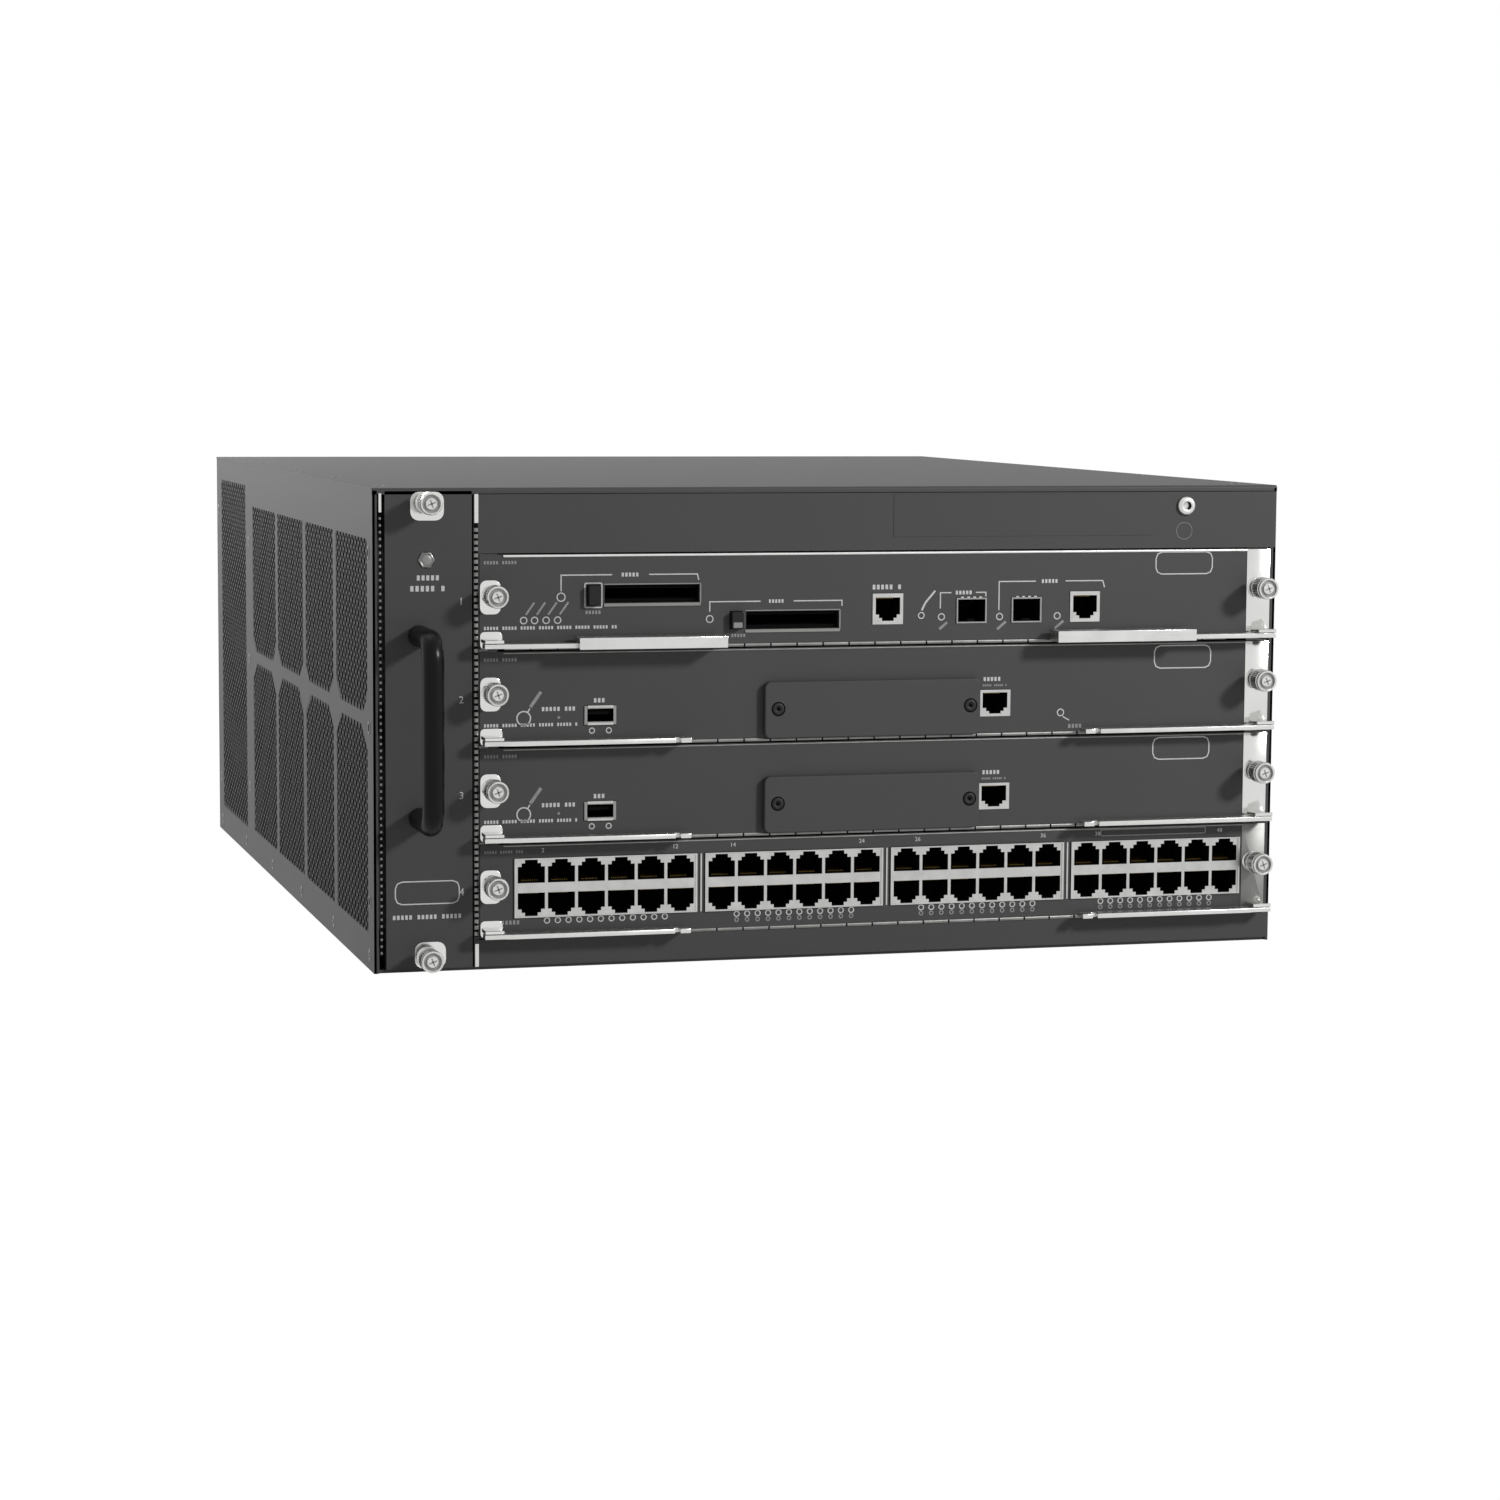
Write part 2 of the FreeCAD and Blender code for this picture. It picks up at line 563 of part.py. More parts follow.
def board(label, slot, chips, sinks, bay=()):
    """A circuit board that reaches the backplane, with its chips and heat sinks soldered on.

    A bay is a notch in its front edge, given by its left, right and rear edges.
    """
    body = new_body(label, "slot_x", "front", slot)
    plate = sketch_on(body, "XY", "board_rise")
    outline = [("board_left", "gauge"), ("board_right", "gauge"), ("board_right", "board_depth"),
               ("board_left", "board_depth")]
    if bay:
        left, right, back = bay
        outline[1:1] = [(left, "gauge"), (left, back), (right, back), (right, "gauge")]
    polygon(plate, outline)
    pad(body, plate, "board_thick")
    for places, wide, high in ((chips, "chip_size", "chip_height"), (sinks, "sink_size", "sink_height")):
        blocks = sketch_on(body, "XY", "board_top")
        for x, y in places:
            left, low = "board_left + %s" % x, "gauge + %s" % y
            rectangle(blocks, left, low, "%s + %s" % (left, wide), "%s + %s" % (low, wide))
        pad(body, blocks, high)
    return body


def port(body, left, low, wide, high, depth, wall="port_wall"):
    """A socket shell that stands at the faceplate, open to the front."""
    shell = sketch_on(body, "XZ")
    rectangle(shell, left, low, "%s + %s" % (left, wide), "%s + %s" % (low, high))
    pad(body, shell, depth)
    inside = sketch_on(body, "XZ")
    rectangle(inside, "%s + %s" % (left, wall), "%s + %s" % (low, wall),
              "%s + %s - %s" % (left, wide, wall), "%s + %s - %s" % (low, high, wall))
    pocket(body, inside, "%s - %s" % (depth, wall))


def around(left, low, wide, high, play):
    """The opening in a faceplate that clears a port on every side."""
    return ("%s - %s" % (left, play), "%s - %s" % (low, play),
            "%s + 2 * %s" % (wide, play), "%s + 2 * %s" % (high, play))


def module_hardware(name, slot, with_bar=False):
    """The two levers and two captive screws that every module has."""
    lever(name + "_lever_left", slot, "lever_inset", 1, with_bar)
    lever(name + "_lever_right", slot, "right_lever", -1, with_bar)
    captive_screw(name + "_screw_left", "slot_x + face_screw_inset", slot + " + face_screw_rise")
    captive_screw(name + "_screw_right", "slot_x + right_screw", slot + " + face_screw_rise")


def supervisor():
    """The control module: two disk sockets with eject keys, two cages and two network ports."""
    slot = "slot_one"
    disks = [("disk_top_left", "disk_top_rise", "disk_width", "disk_height"),
             ("disk_low_left", "disk_low_rise", "disk_width", "disk_height")]
    keys = [("key_top_left", "key_top_rise", "key_width", "key_top_height"),
            ("key_low_left", "key_low_rise", "key_width", "key_low_height")]
    ports = [("console_left", "board_top", "net_width", "net_height"),
             ("cage_one_left", "board_top", "cage_width", "cage_height"),
             ("cage_two_left", "board_top", "cage_width", "cage_height"),
             ("net_left", "board_top", "net_width", "net_height")]
    openings = [around(*key, "key_play") for key in keys] + [around(*item, "port_play") for item in ports]
    openings += disks
    faceplate("supervisor_faceplate", slot, openings)
    bay = ("key_low_left - bay_play", "disk_low_left + disk_width + disk_wall + bay_play",
           "gauge + disk_depth + disk_wall + bay_play")
    board("supervisor_board", slot, [(40, 120), (120, 150), (250, 110), (300, 210), (60, 300), (150, 310)],
          [(190, 210), (100, 220)], bay)
    module_hardware("supervisor", slot, with_bar=True)
    sockets = new_body("disk_sockets", "slot_x", "front + gauge", slot)
    for left, low, wide, high in disks:
        wall = "disk_wall"
        shell = sketch_on(sockets, "XZ")
        rectangle(shell, left + " - " + wall, low + " - " + wall, "%s + %s + %s" % (left, wide, wall),
                  "%s + %s + %s" % (low, high, wall))
        rectangle(shell, left, low, "%s + %s" % (left, wide), "%s + %s" % (low, high))
        pad(sockets, shell, "disk_depth")
        back = sketch_on(sockets, "XZ", "disk_depth")
        rectangle(back, left + " - " + wall, low + " - " + wall, "%s + %s + %s" % (left, wide, wall),
                  "%s + %s + %s" % (low, high, wall))
        pad(sockets, back, wall)
    for number, (left, low, wide, high) in enumerate(keys):
        key = new_body("eject_button_%d" % number, "slot_x", "front", slot)
        stem = sketch_on(key, "XZ", "-key_proud")
        rectangle(stem, left, low, "%s + %s" % (left, wide), "%s + %s" % (low, high))
        pad(key, stem, "key_length")
        round_edges(key, "key_round", "Y")
    shells = new_body("port_shells", "slot_x", "front", slot)
    for left, low, wide, high in ports:
        port(shells, left, low, wide, high, "port_depth")


def service_module(name, slot):
    """A service module: a USB port and a network port on its board, and a raised cover plate."""
    ports = [("usb_left", "board_top", "usb_width", "usb_height"),
             ("link_left", "board_top", "link_width", "link_height")]
    faceplate(name + "_faceplate", slot, [around(*item, "port_play") for item in ports])
    body = board(name + "_board", slot, [(30, 90), (80, 90), (130, 90), (30, 200), (300, 120), (300, 250)],
                 [(110, 180), (200, 180), (150, 290)])
    for left, low, wide, high in ports:
        port(body, left, low, wide, high, "port_depth")
    module_hardware(name, slot)
    cover = new_body(name + "_cover", "slot_x + cover_left", "front", slot + " + cover_rise")
    plate = sketch_on(cover, "XZ")
    rectangle(plate, "0", "0", "cover_width", "cover_height")
    pad(cover, plate, "cover_proud", towards=-1)
    round_edges(cover, "cover_corner", "Y")


def access_module():
    """The access module: four banks of twelve jacks along its faceplate."""
    slot = "slot_four"
    banks = [("bank_left + %d * bank_pitch" % k, "board_top", "bank_width", "bank_height") for k in range(4)]
    faceplate("access_faceplate", slot, [around(*bank, "port_play") for bank in banks])
    board("access_board", slot, [(30, 90), (90, 90), (150, 90), (210, 90), (270, 90), (320, 90)],
          [(60, 190), (150, 190), (240, 190)])
    module_hardware("access", slot)
    body = new_body("jack_banks", "slot_x + bank_left", "front", slot + " + board_top")
    blocks = sketch_on(body, "XZ")
    bores = sketch_on(body, "XZ")
    for k in range(4):
        left = "%d * bank_pitch" % k
        rectangle(blocks, left, "0", left + " + bank_width", "bank_height")
        left += " + (bank_width - 5 * bore_pitch - socket_bore_width) / 2"
        for low in ("bore_low", "bore_high"):
            rectangle(bores, left, low, left + " + socket_bore_width", low + " + socket_bore_height")
    pad(body, blocks, "bank_depth")
    cut = pocket(body, bores, "socket_bore_depth")
    repeat(body, "X", "5 * bore_pitch", 6, [cut])


# ---------------------------------------------------------------- fan tray

def fan_tray_frame():
    """The tray: front plate, web with eight ports, floor, roof and rear plate."""
    body = new_body("fan_tray_frame", "tray_x", "front", "0")
    face = sketch_on(body, "XZ")
    rectangle(face, "0", "tray_low", "tray_width", "ceiling - seam")
    for rise in ("tray_screw_rise", "tray_screw_top"):
        circle(face, "tray_screw_inset", rise, "knob_shaft + screw_play")
    circle(face, "lens_inset", "lens_rise", "lens_radius + screw_play")
    pad(body, face, "gauge")
    web = sketch_on(body, "YZ")
    rectangle(web, "gauge", "tray_floor", "tray_depth", "tray_ceiling")
    for row in range(2):
        for column in range(4):
            circle(web, "fan_first + %d * fan_pitch" % column, "fan_low + %d * fan_row_pitch" % row,
                   "fan_port")
    pad(body, web, "gauge")
    for low in ("tray_floor", "tray_ceiling - gauge"):
        flange = sketch_on(body, "XY", low)
        rectangle(flange, "0", "gauge", "tray_width", "tray_depth")
        pad(body, flange, "gauge")
    back = sketch_on(body, "XZ", "tray_depth - gauge")
    rectangle(back, "0", "tray_floor", "tray_width", "tray_ceiling")
    pad(body, back, "gauge")


def bent_path(sketch, low, high, reach, bend):
    """A path out from the face, along it and back, with round bends; every point is bound."""
    z_low, z_high, out, radius = (size(name) for name in (low, high, reach, bend))
    spot = FreeCAD.Vector
    bends = [(spot(radius - out, z_low + radius, 0), math.pi, 1.5 * math.pi),
             (spot(radius - out, z_high - radius, 0), 0.5 * math.pi, math.pi)]
    arcs = [Part.ArcOfCircle(Part.Circle(centre, spot(0, 0, 1), radius), start, end)
            for centre, start, end in bends]
    lines = [Part.LineSegment(spot(0, z_low, 0), spot(radius - out, z_low, 0)),
             Part.LineSegment(spot(-out, z_low + radius, 0), spot(-out, z_high - radius, 0)),
             Part.LineSegment(spot(radius - out, z_high, 0), spot(0, z_high, 0))]
    sketch.addGeometry([lines[0], arcs[0], lines[1], arcs[1], lines[2]], False)
    for constraint in (("Tangent", 0, 2, 1, 2), ("Tangent", 1, 1, 2, 1), ("Tangent", 2, 2, 3, 2),
                       ("Tangent", 3, 1, 4, 1), ("Equal", 1, 3), ("Horizontal", 0), ("Vertical", 2),
                       ("Horizontal", 4)):
        sketch.addConstraint(Sketcher.Constraint(*constraint))
    index = sketch.addConstraint(Sketcher.Constraint("Radius", 1, radius))
    sketch.setExpression("Constraints[%d]" % index, bound(bend))
    pin_point(sketch, 0, 1, "0", low)
    pin_point(sketch, 4, 2, "0", high)
    index = sketch.addConstraint(Sketcher.Constraint("DistanceX", 2, 1, -1, 1, out))
    sketch.setExpression("Constraints[%d]" % index, bound(reach))


def fan_tray_handle():
    """A round bar bent twice, standing on the tray's front plate."""
    body = new_body("fan_tray_handle", "tray_x + grip_inset", "front", "0")
    path = sketch_on(body, "YZ")
    bent_path(path, "grip_low", "grip_high", "grip_reach", "grip_bend")
    section = sketch_on(body, "XZ")
    circle(section, "0", "grip_low", "grip_radius")
    feature = body.newObject("PartDesign::AdditivePipe", "fan_tray_handle_bar")
    feature.Profile = section
    feature.Spine = path


def fan_housings():
    """Eight square fan frames: a round duct, a spider of four struts and a bearing boss."""
    body = new_body("fan_housings", "tray_x + gauge", "front + fan_first", "fan_low")
    block = sketch_on(body, "YZ")
    rectangle(block, "-fan_size / 2", "-fan_size / 2", "fan_size / 2", "fan_size / 2")
    pad(body, block, "fan_depth")
    duct = sketch_on(body, "YZ", "fan_floor")
    circle(duct, "0", "0", "fan_bore")
    pocket(body, duct, "fan_depth - fan_floor")
    ring = sketch_on(body, "YZ")
    circle(ring, "0", "0", "fan_port")
    circle(ring, "0", "0", "fan_hub")
    pocket(body, ring, "fan_floor")
    for tall in (True, False):
        strut = sketch_on(body, "YZ")
        long, short = "fan_bore + fan_strut_root", "fan_strut / 2"
        y, z = (short, long) if tall else (long, short)
        rectangle(strut, "-(%s)" % y, "-(%s)" % z, y, z)
        pad(body, strut, "fan_floor")
    boss = sketch_on(body, "YZ")
    circle(boss, "0", "0", "bearing_boss")
    pad(body, boss, "bearing_end")
    bore = sketch_on(body, "YZ")
    circle(bore, "0", "0", "shaft + shaft_play")
    pocket(body, bore)
    repeat(body, "Y", "3 * fan_pitch", 4)
    repeat(body, "Z", "fan_row_pitch", 2)


def blade_section(body, radius, half):
    """A slanted section of a fan blade at a radius; every section lies on the same two planes."""
    section = sketch_on(body, "XY", radius)
    low, high = "blade_middle - blade_pitch * %s" % half, "blade_middle + blade_pitch * %s" % half
    polygon(section, [(low + " - blade_thick / 2", "-" + half), (low + " + blade_thick / 2", "-" + half),
                      (high + " + blade_thick / 2", half), (high + " - blade_thick / 2", half)])
    return section


def fan_rotor(number):
    """An impeller: a turned hub on its shaft, and seven lofted blades."""
    row, column = divmod(number - 1, 4)
    body = new_body("fan_rotor_%d" % number, "tray_x + gauge", "front + fan_first + %d * fan_pitch" % column,
                    "fan_low + %d * fan_row_pitch" % row)
    hub = sketch_on(body, "XY")
    polygon(hub, [("hub_gap", "0"), ("hub_gap", "shaft"), ("hub_end - hub_wall", "shaft"),
                  ("hub_end - hub_wall", "fan_hub - hub_wall"), ("hub_front", "fan_hub - hub_wall"),
                  ("hub_front", "fan_hub"), ("hub_end", "fan_hub"), ("hub_end", "0")])
    revolve(body, hub, "H_Axis")
    root = blade_section(body, "blade_root", "blade_root_half")
    tip = blade_section(body, "blade_tip", "blade_tip_half")
    blade = body.newObject("PartDesign::AdditiveLoft", body.Name + "_blade")
    blade.Profile = root
    blade.Sections = [tip]
    blade.Ruled = True
    ring = body.newObject("PartDesign::PolarPattern", body.Name + "_blades")
    ring.Originals = [blade]
    ring.Axis = (origin_item(body, "X_Axis"), [""])
    ring.Angle = 360
    ring.Occurrences = 7
    body.Tip = ring


def fan_status_lens():
    """The domed lens of the tray's light, set in the front plate."""
    body = new_body("fan_status_lens", "tray_x + lens_inset", "front", "lens_rise")
    profile = sketch_on(body, "XY")
    polygon(profile, [("0", "-lens_proud"), ("lens_radius / 2", "-lens_proud"), ("lens_radius", "0"),
                      ("lens_radius", "gauge"), ("0", "gauge")])
    revolve(body, profile, "V_Axis")


# ---------------------------------------------------------------- power supplies

def power_supply(number, left):
    """A supply: a closed case with an inlet, a switch well with its pin, and a strap handle."""
    name = "psu_%d" % number
    body = new_body(name + "_case", left, "rear - supply_depth", "tray_floor")
    block = sketch_on(body, "XZ")
    rectangle(block, "0", "0", "supply_width", "supply_height")
    pad(body, block, "supply_depth")
    for corner, depth in (("inlet", "inlet_depth"), ("well", "well_depth")):
        hollow = sketch_on(body, "XZ", "supply_depth")
        rectangle(hollow, corner + "_left", corner + "_rise", "%s_left + %s_width" % (corner, corner),
                  "%s_rise + %s_height" % (corner, corner))
        pocket(body, hollow, depth, towards=-1)
    pin = sketch_on(body, "YZ", "well_left")
    circle(pin, "supply_depth - rocker_axis", "well_rise + well_height / 2", "rocker_pin")
    pad(body, pin, "well_width")
    strap = sketch_on(body, "YZ", "strap_left")
    base, out, thick = "supply_depth", "supply_depth + strap_reach", "strap_thick"
    polygon(strap, [(base, "strap_low"), (out, "strap_low"), (out, "strap_high"), (base, "strap_high"),
                    (base, "strap_high - " + thick), ("%s - %s" % (out, thick), "strap_high - " + thick),
                    ("%s - %s" % (out, thick), "strap_low + " + thick), (base, "strap_low + " + thick)])
    pad(body, strap, "strap_width")
    rocker = new_body(name + "_switch", left + " + well_left + (well_width - rocker_width) / 2",
                      "rear - rocker_axis", "tray_floor + well_rise + well_height / 2")
    outline = sketch_on(rocker, "YZ")
    polygon(outline, [("-rocker_back", "-rocker_back_half"), ("rocker_rise", "-rocker_half"),
                      ("rocker_dip", "0"), ("rocker_rise", "rocker_half"),
                      ("-rocker_back", "rocker_back_half")])
    circle(outline, "0", "0", "rocker_pin + pin_play")
    pad(rocker, outline, "rocker_width")


# ---------------------------------------------------------------- build, test and write

def build():
    """Make every sub-part of the switch."""
    bottom_pan()
    side_panel("left_side_panel", -1, size("strip_width"), 0, size("ceiling"), True)
    side_panel("right_side_panel", 1, size("right_return"), size("sill"), size("slots_top"), False)
    top_cover()
    front_frame()
    rear_panel()
    cage_wall("cage_wall_left", "left_wall - gauge", 1, "slot_x + face_screw_inset")
    cage_wall("cage_wall_right", "right_wall", -1, "slot_x + right_screw")
    backplane()
    esd_jack()
    chassis_screws()
    fan_tray_frame()
    fan_tray_handle()
    fan_status_lens()
    fan_housings()
    for number in range(1, 9):
        fan_rotor(number)
    captive_screw("fan_tray_screw_top", "tray_x + tray_screw_inset", "tray_screw_top")
    captive_screw("fan_tray_screw_bottom", "tray_x + tray_screw_inset", "tray_screw_rise")
    supervisor()
    service_module("service_a", "slot_two")
    service_module("service_b", "slot_three")
    access_module()
    power_supply(1, "supply_left")
    power_supply(2, "supply_right")
    doc.recompute()


def subparts():
    """The objects that are pieces of the switch: every body and every plain shape."""
    return [item for item in doc.Objects
            if item.TypeId == "PartDesign::Body" or item.TypeId == "Part::Feature"]


def faults():
    """What went wrong: a failed object, a cut that cut nothing, or a shape that isn't valid."""
    found = []
    for item in doc.Objects:
        if "Invalid" in item.State or "Error" in item.State:
            found.append("%s failed to build" % item.Name)
        if item.TypeId == "PartDesign::Pocket" and not found:
            base = item.BaseFeature.Shape
            if item.Shape.Volume > base.Volume - 1e-6:
                found.append("%s cuts nothing" % item.Name)
    for item in subparts():
        if item.Shape.isNull() or not item.Shape.isValid() or not item.Shape.Solids:
            found.append("%s has no valid solid" % item.Label)
    return found


def write_parts():
    """Write each sub-part to a STEP file named for it."""
    os.makedirs("parts", exist_ok=True)
    for item in subparts():
        item.Shape.exportStep("parts/%s.step" % item.Label)


fill_sheet()
build()
problems = faults()
if problems:
    raise SystemExit("\n".join(problems))
write_parts()
print("%d sub-parts written" % len(subparts()))
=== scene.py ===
"""Visual model of a five-unit modular chassis switch.

The solids of the switch are the fixed frame. This file gives them their finishes, and puts the fine
work around them: perforated side sheets, knurled screws, contact fingers, jacks, print and lights.
Lengths are millimetres; a mesh is turned to metres when it becomes a piece. Places on a face are
given as across, up and out. A surface's finish numbers count the finishes of its piece from nought.
"""
import json
import logging
import math
from collections.abc import Sequence
from dataclasses import dataclass, field
from enum import Enum

import bmesh
import bpy
import numpy as np
from mathutils import Matrix, Vector

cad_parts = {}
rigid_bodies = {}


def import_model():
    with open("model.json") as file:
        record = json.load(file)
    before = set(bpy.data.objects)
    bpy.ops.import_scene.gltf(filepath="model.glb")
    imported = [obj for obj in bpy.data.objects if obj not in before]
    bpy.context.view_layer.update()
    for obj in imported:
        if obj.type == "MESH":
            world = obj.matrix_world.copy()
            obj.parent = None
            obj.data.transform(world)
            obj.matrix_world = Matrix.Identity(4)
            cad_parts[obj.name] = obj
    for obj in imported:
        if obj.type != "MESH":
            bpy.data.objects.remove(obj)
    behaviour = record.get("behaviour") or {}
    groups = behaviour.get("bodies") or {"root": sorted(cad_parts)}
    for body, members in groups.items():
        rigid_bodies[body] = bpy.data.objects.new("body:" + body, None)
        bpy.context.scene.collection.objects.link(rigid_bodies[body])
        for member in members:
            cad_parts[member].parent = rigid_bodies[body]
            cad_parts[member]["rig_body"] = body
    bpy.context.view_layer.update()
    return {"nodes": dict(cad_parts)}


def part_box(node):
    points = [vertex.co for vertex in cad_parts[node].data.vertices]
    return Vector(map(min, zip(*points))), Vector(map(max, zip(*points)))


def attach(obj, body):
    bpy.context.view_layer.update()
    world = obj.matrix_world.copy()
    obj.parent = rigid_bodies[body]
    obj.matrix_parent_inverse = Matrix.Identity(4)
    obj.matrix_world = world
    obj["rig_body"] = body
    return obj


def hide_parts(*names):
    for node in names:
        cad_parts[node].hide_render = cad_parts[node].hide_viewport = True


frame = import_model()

MM = 0.001
CREASE = math.radians(35)
SKIN_DROP = 0.3
log = logging.getLogger("switch")

Pairs = Sequence[tuple[float, float]]
Triple = tuple[float, float, float]
Box = tuple[float, float, float, float]


# ---------------------------------------------------------------- finishes

def linear(hex_colour: str) -> tuple[float, float, float, float]:
    """Turn an sRGB colour such as "#46474a" into linear light, with an alpha of one."""
    parts = [int(hex_colour[k:k + 2], 16) / 255 for k in (1, 3, 5)]
    return (*[c / 12.92 if c <= 0.04045 else ((c + 0.055) / 1.055) ** 2.4 for c in parts], 1.0)


def add_node(tree: bpy.types.NodeTree, kind: str, settings: dict | None = None,
             links: dict | None = None) -> bpy.types.Node:
    """Add one node to a tree.

    Args:
        tree: the node tree.
        kind: the node's type.
        settings: values by the name of a property, or by the name or number of an input.
        links: the output socket that feeds each input.

    Returns:
        The new node.
    """
    item = tree.nodes.new(kind)
    for key, value in (settings or {}).items():
        if isinstance(key, int) or key in item.inputs:
            item.inputs[key].default_value = value
        else:
            setattr(item, key, value)
    for key, socket in (links or {}).items():
        tree.links.new(socket, item.inputs[key])
    return item


@dataclass(frozen=True)
class Finish:
    """One surface finish: two tones that mottle, and a fine grain in its roughness and relief."""

    name: str
    colour: str
    shade: str
    roughness: float
    play: float = 0.06
    metallic: float = 0.0
    specular: float = 0.5
    grain_mm: float = 0.8
    stretch: Triple = (1.0, 1.0, 1.0)
    relief: float = 0.15
    mottle_mm: float = 70.0

    def tone(self, tree: bpy.types.NodeTree, place: bpy.types.NodeSocket) -> bpy.types.NodeSocket:
        """The base colour at a place: the two tones mixed by a soft cloud of the mottle's size."""
        cloud = add_node(tree, "ShaderNodeTexNoise", {"Scale": 1 / (self.mottle_mm * MM), "Detail": 2.0},
                         {"Vector": place})
        mix = add_node(tree, "ShaderNodeMix", {"data_type": "RGBA", 6: linear(self.colour),
                                               7: linear(self.shade)}, {0: cloud.outputs[0]})
        return mix.outputs[2]

    def material(self) -> bpy.types.Material:
        """The finish as a material, made once."""
        made = bpy.data.materials.get(self.name)
        if made:
            return made
        made = bpy.data.materials.new(self.name)
        made.use_nodes = True
        tree = made.node_tree
        tree.nodes.clear()
        place = add_node(tree, "ShaderNodeTexCoord").outputs["Object"]
        laid = add_node(tree, "ShaderNodeMapping", {"Scale": self.stretch}, {"Vector": place})
        grain = add_node(tree, "ShaderNodeTexNoise", {"Scale": 1 / (self.grain_mm * MM), "Detail": 3.0},
                         {"Vector": laid.outputs[0]})
        rough = add_node(tree, "ShaderNodeMapRange", {"To Min": self.roughness - self.play,
                                                      "To Max": self.roughness + self.play},
                         {"Value": grain.outputs[0]})
        bump = add_node(tree, "ShaderNodeBump", {"Strength": self.relief, "Distance": self.grain_mm * MM / 4},
                        {"Height": grain.outputs[0]})
        settings = {"Metallic": self.metallic}
        if not self.metallic:
            settings["Specular IOR Level"] = self.specular
        shader = add_node(tree, "ShaderNodeBsdfPrincipled", settings,
                          {"Base Color": self.tone(tree, place), "Roughness": rough.outputs[0],
                           "Normal": bump.outputs[0]})
        add_node(tree, "ShaderNodeOutputMaterial", {}, {"Surface": shader.outputs[0]})
        return made


@dataclass(frozen=True)
class TracedBoard(Finish):
    """Green solder mask over copper tracks, drawn as a lattice of finer and darker lines."""

    track_mm: float = 2.4

    def tone(self, tree: bpy.types.NodeTree, place: bpy.types.NodeSocket) -> bpy.types.NodeSocket:
        """The mask's colour at a place, lighter over the tracks between brick-shaped fields."""
        bricks = add_node(tree, "ShaderNodeTexBrick",
                          {"Scale": 1 / (self.track_mm * MM), "Mortar Size": 0.06, "Brick Width": 3.0,
                           "Row Height": 0.5, "Color1": linear(self.colour), "Color2": linear(self.colour),
                           "Mortar": linear(self.shade)}, {"Vector": place})
        return bricks.outputs[0]


# Satin powder coat on sheet steel: even dark grey, with a fine orange peel that breaks up gloss.
COAT = Finish("charcoal_powder_coat", "#343434", "#303030", 0.55, specular=0.28, grain_mm=0.9, relief=0.16)
# The same coat on the faceplates, a shade lighter.
FACE_COAT = Finish("faceplate_powder_coat", "#373737", "#333333", 0.55, specular=0.25, relief=0.14)
# Painted shade: the webs between the perforations, coloured darker than the coat for the shade within the
# holes, where little light comes back.
WEB_SHADE = Finish("perforated_web_painted_shade", "#1b1b1b", "#161616", 0.6, specular=0.22, grain_mm=0.6, relief=0.1)
# Polycarbonate film on the header, a little smoother than the coat.
OVERLAY = Finish("header_overlay_film", "#353535", "#323232", 0.5, specular=0.26, grain_mm=2.0, relief=0.04)
# Dull zinc inside the chassis, in shade.
INNER_ZINC = Finish("inner_zinc_sheet", "#7f7f7e", "#6d6d6c", 0.45, metallic=1.0, relief=0.1)
# Nickel plating of the levers: bright, brushed along its length.
NICKEL = Finish("nickel_plated_steel", "#d6d6d4", "#c2c2c0", 0.26, metallic=1.0, grain_mm=0.7,
                stretch=(0.1, 1.0, 1.0), relief=0.04, mottle_mm=12.0)
# Bare plated steel at the modules' ends: pale, with wear.
BARE = Finish("bare_plated_end", "#dcdcda", "#d0d0ce", 0.13, play=0.03, metallic=1.0,
              stretch=(1.0, 1.0, 0.3), relief=0.1, mottle_mm=22.0)
# The same plating, in a darker and rougher grey.
DULL_NICKEL = Finish("dull_plated_end", "#7c7c7a", "#6c6c6a", 0.5, metallic=1.0, grain_mm=0.6,
                     stretch=(0.2, 1.0, 1.0), relief=0.12, mottle_mm=20.0)
# Folded shields of the jacks: tinned steel, pale and even.
SHIELD = Finish("tinned_jack_shield", "#c4c4c2", "#a6a6a4", 0.3, metallic=1.0, grain_mm=0.5, relief=0.08,
                mottle_mm=6.0)
# Turned and knurled free-cutting steel: bright rings round the axis.
TURNED = Finish("turned_bright_steel", "#dadad8", "#bcbcba", 0.28, metallic=1.0, grain_mm=0.3,
                stretch=(1.0, 0.2, 1.0), relief=0.1, mottle_mm=3.0)
# Turned steel at the bottom of a recess, greyed as painted shade; also the rims of the optic cages and the
# USB socket.
SHADED = Finish("shaded_steel_recess", "#8a8a89", "#757574", 0.5, metallic=0.5, specular=0.3, grain_mm=0.4,
                relief=0.1, mottle_mm=3.0)
# Beryllium-copper contact fingers, tinned: greyed and springy.
FINGER = Finish("tinned_contact_fingers", "#868684", "#60605e", 0.36, metallic=1.0, grain_mm=0.4,
                relief=0.1, mottle_mm=6.0)
# Gloss enamel of the handle: a black that mirrors the lamps.
ENAMEL = Finish("gloss_black_enamel", "#020202", "#040404", 0.3, play=0.03, specular=0.14, grain_mm=1.6,
                relief=0.03)
# Glass-filled nylon of jacks and keys: matt black.
NYLON = Finish("black_glass_filled_nylon", "#0e0e0e", "#131313", 0.6, specular=0.2, grain_mm=0.35)
# Shadowed inside of a socket, where next to no light comes back.
CAVITY = Finish("black_socket_inside", "#030303", "#060606", 0.8, specular=0.06, grain_mm=0.5, relief=0.05)
# Moulded fan plastic: black, satin.
FAN_PLASTIC = Finish("black_fan_moulding", "#101010", "#141414", 0.5, specular=0.25, grain_mm=0.5,
                     relief=0.12)
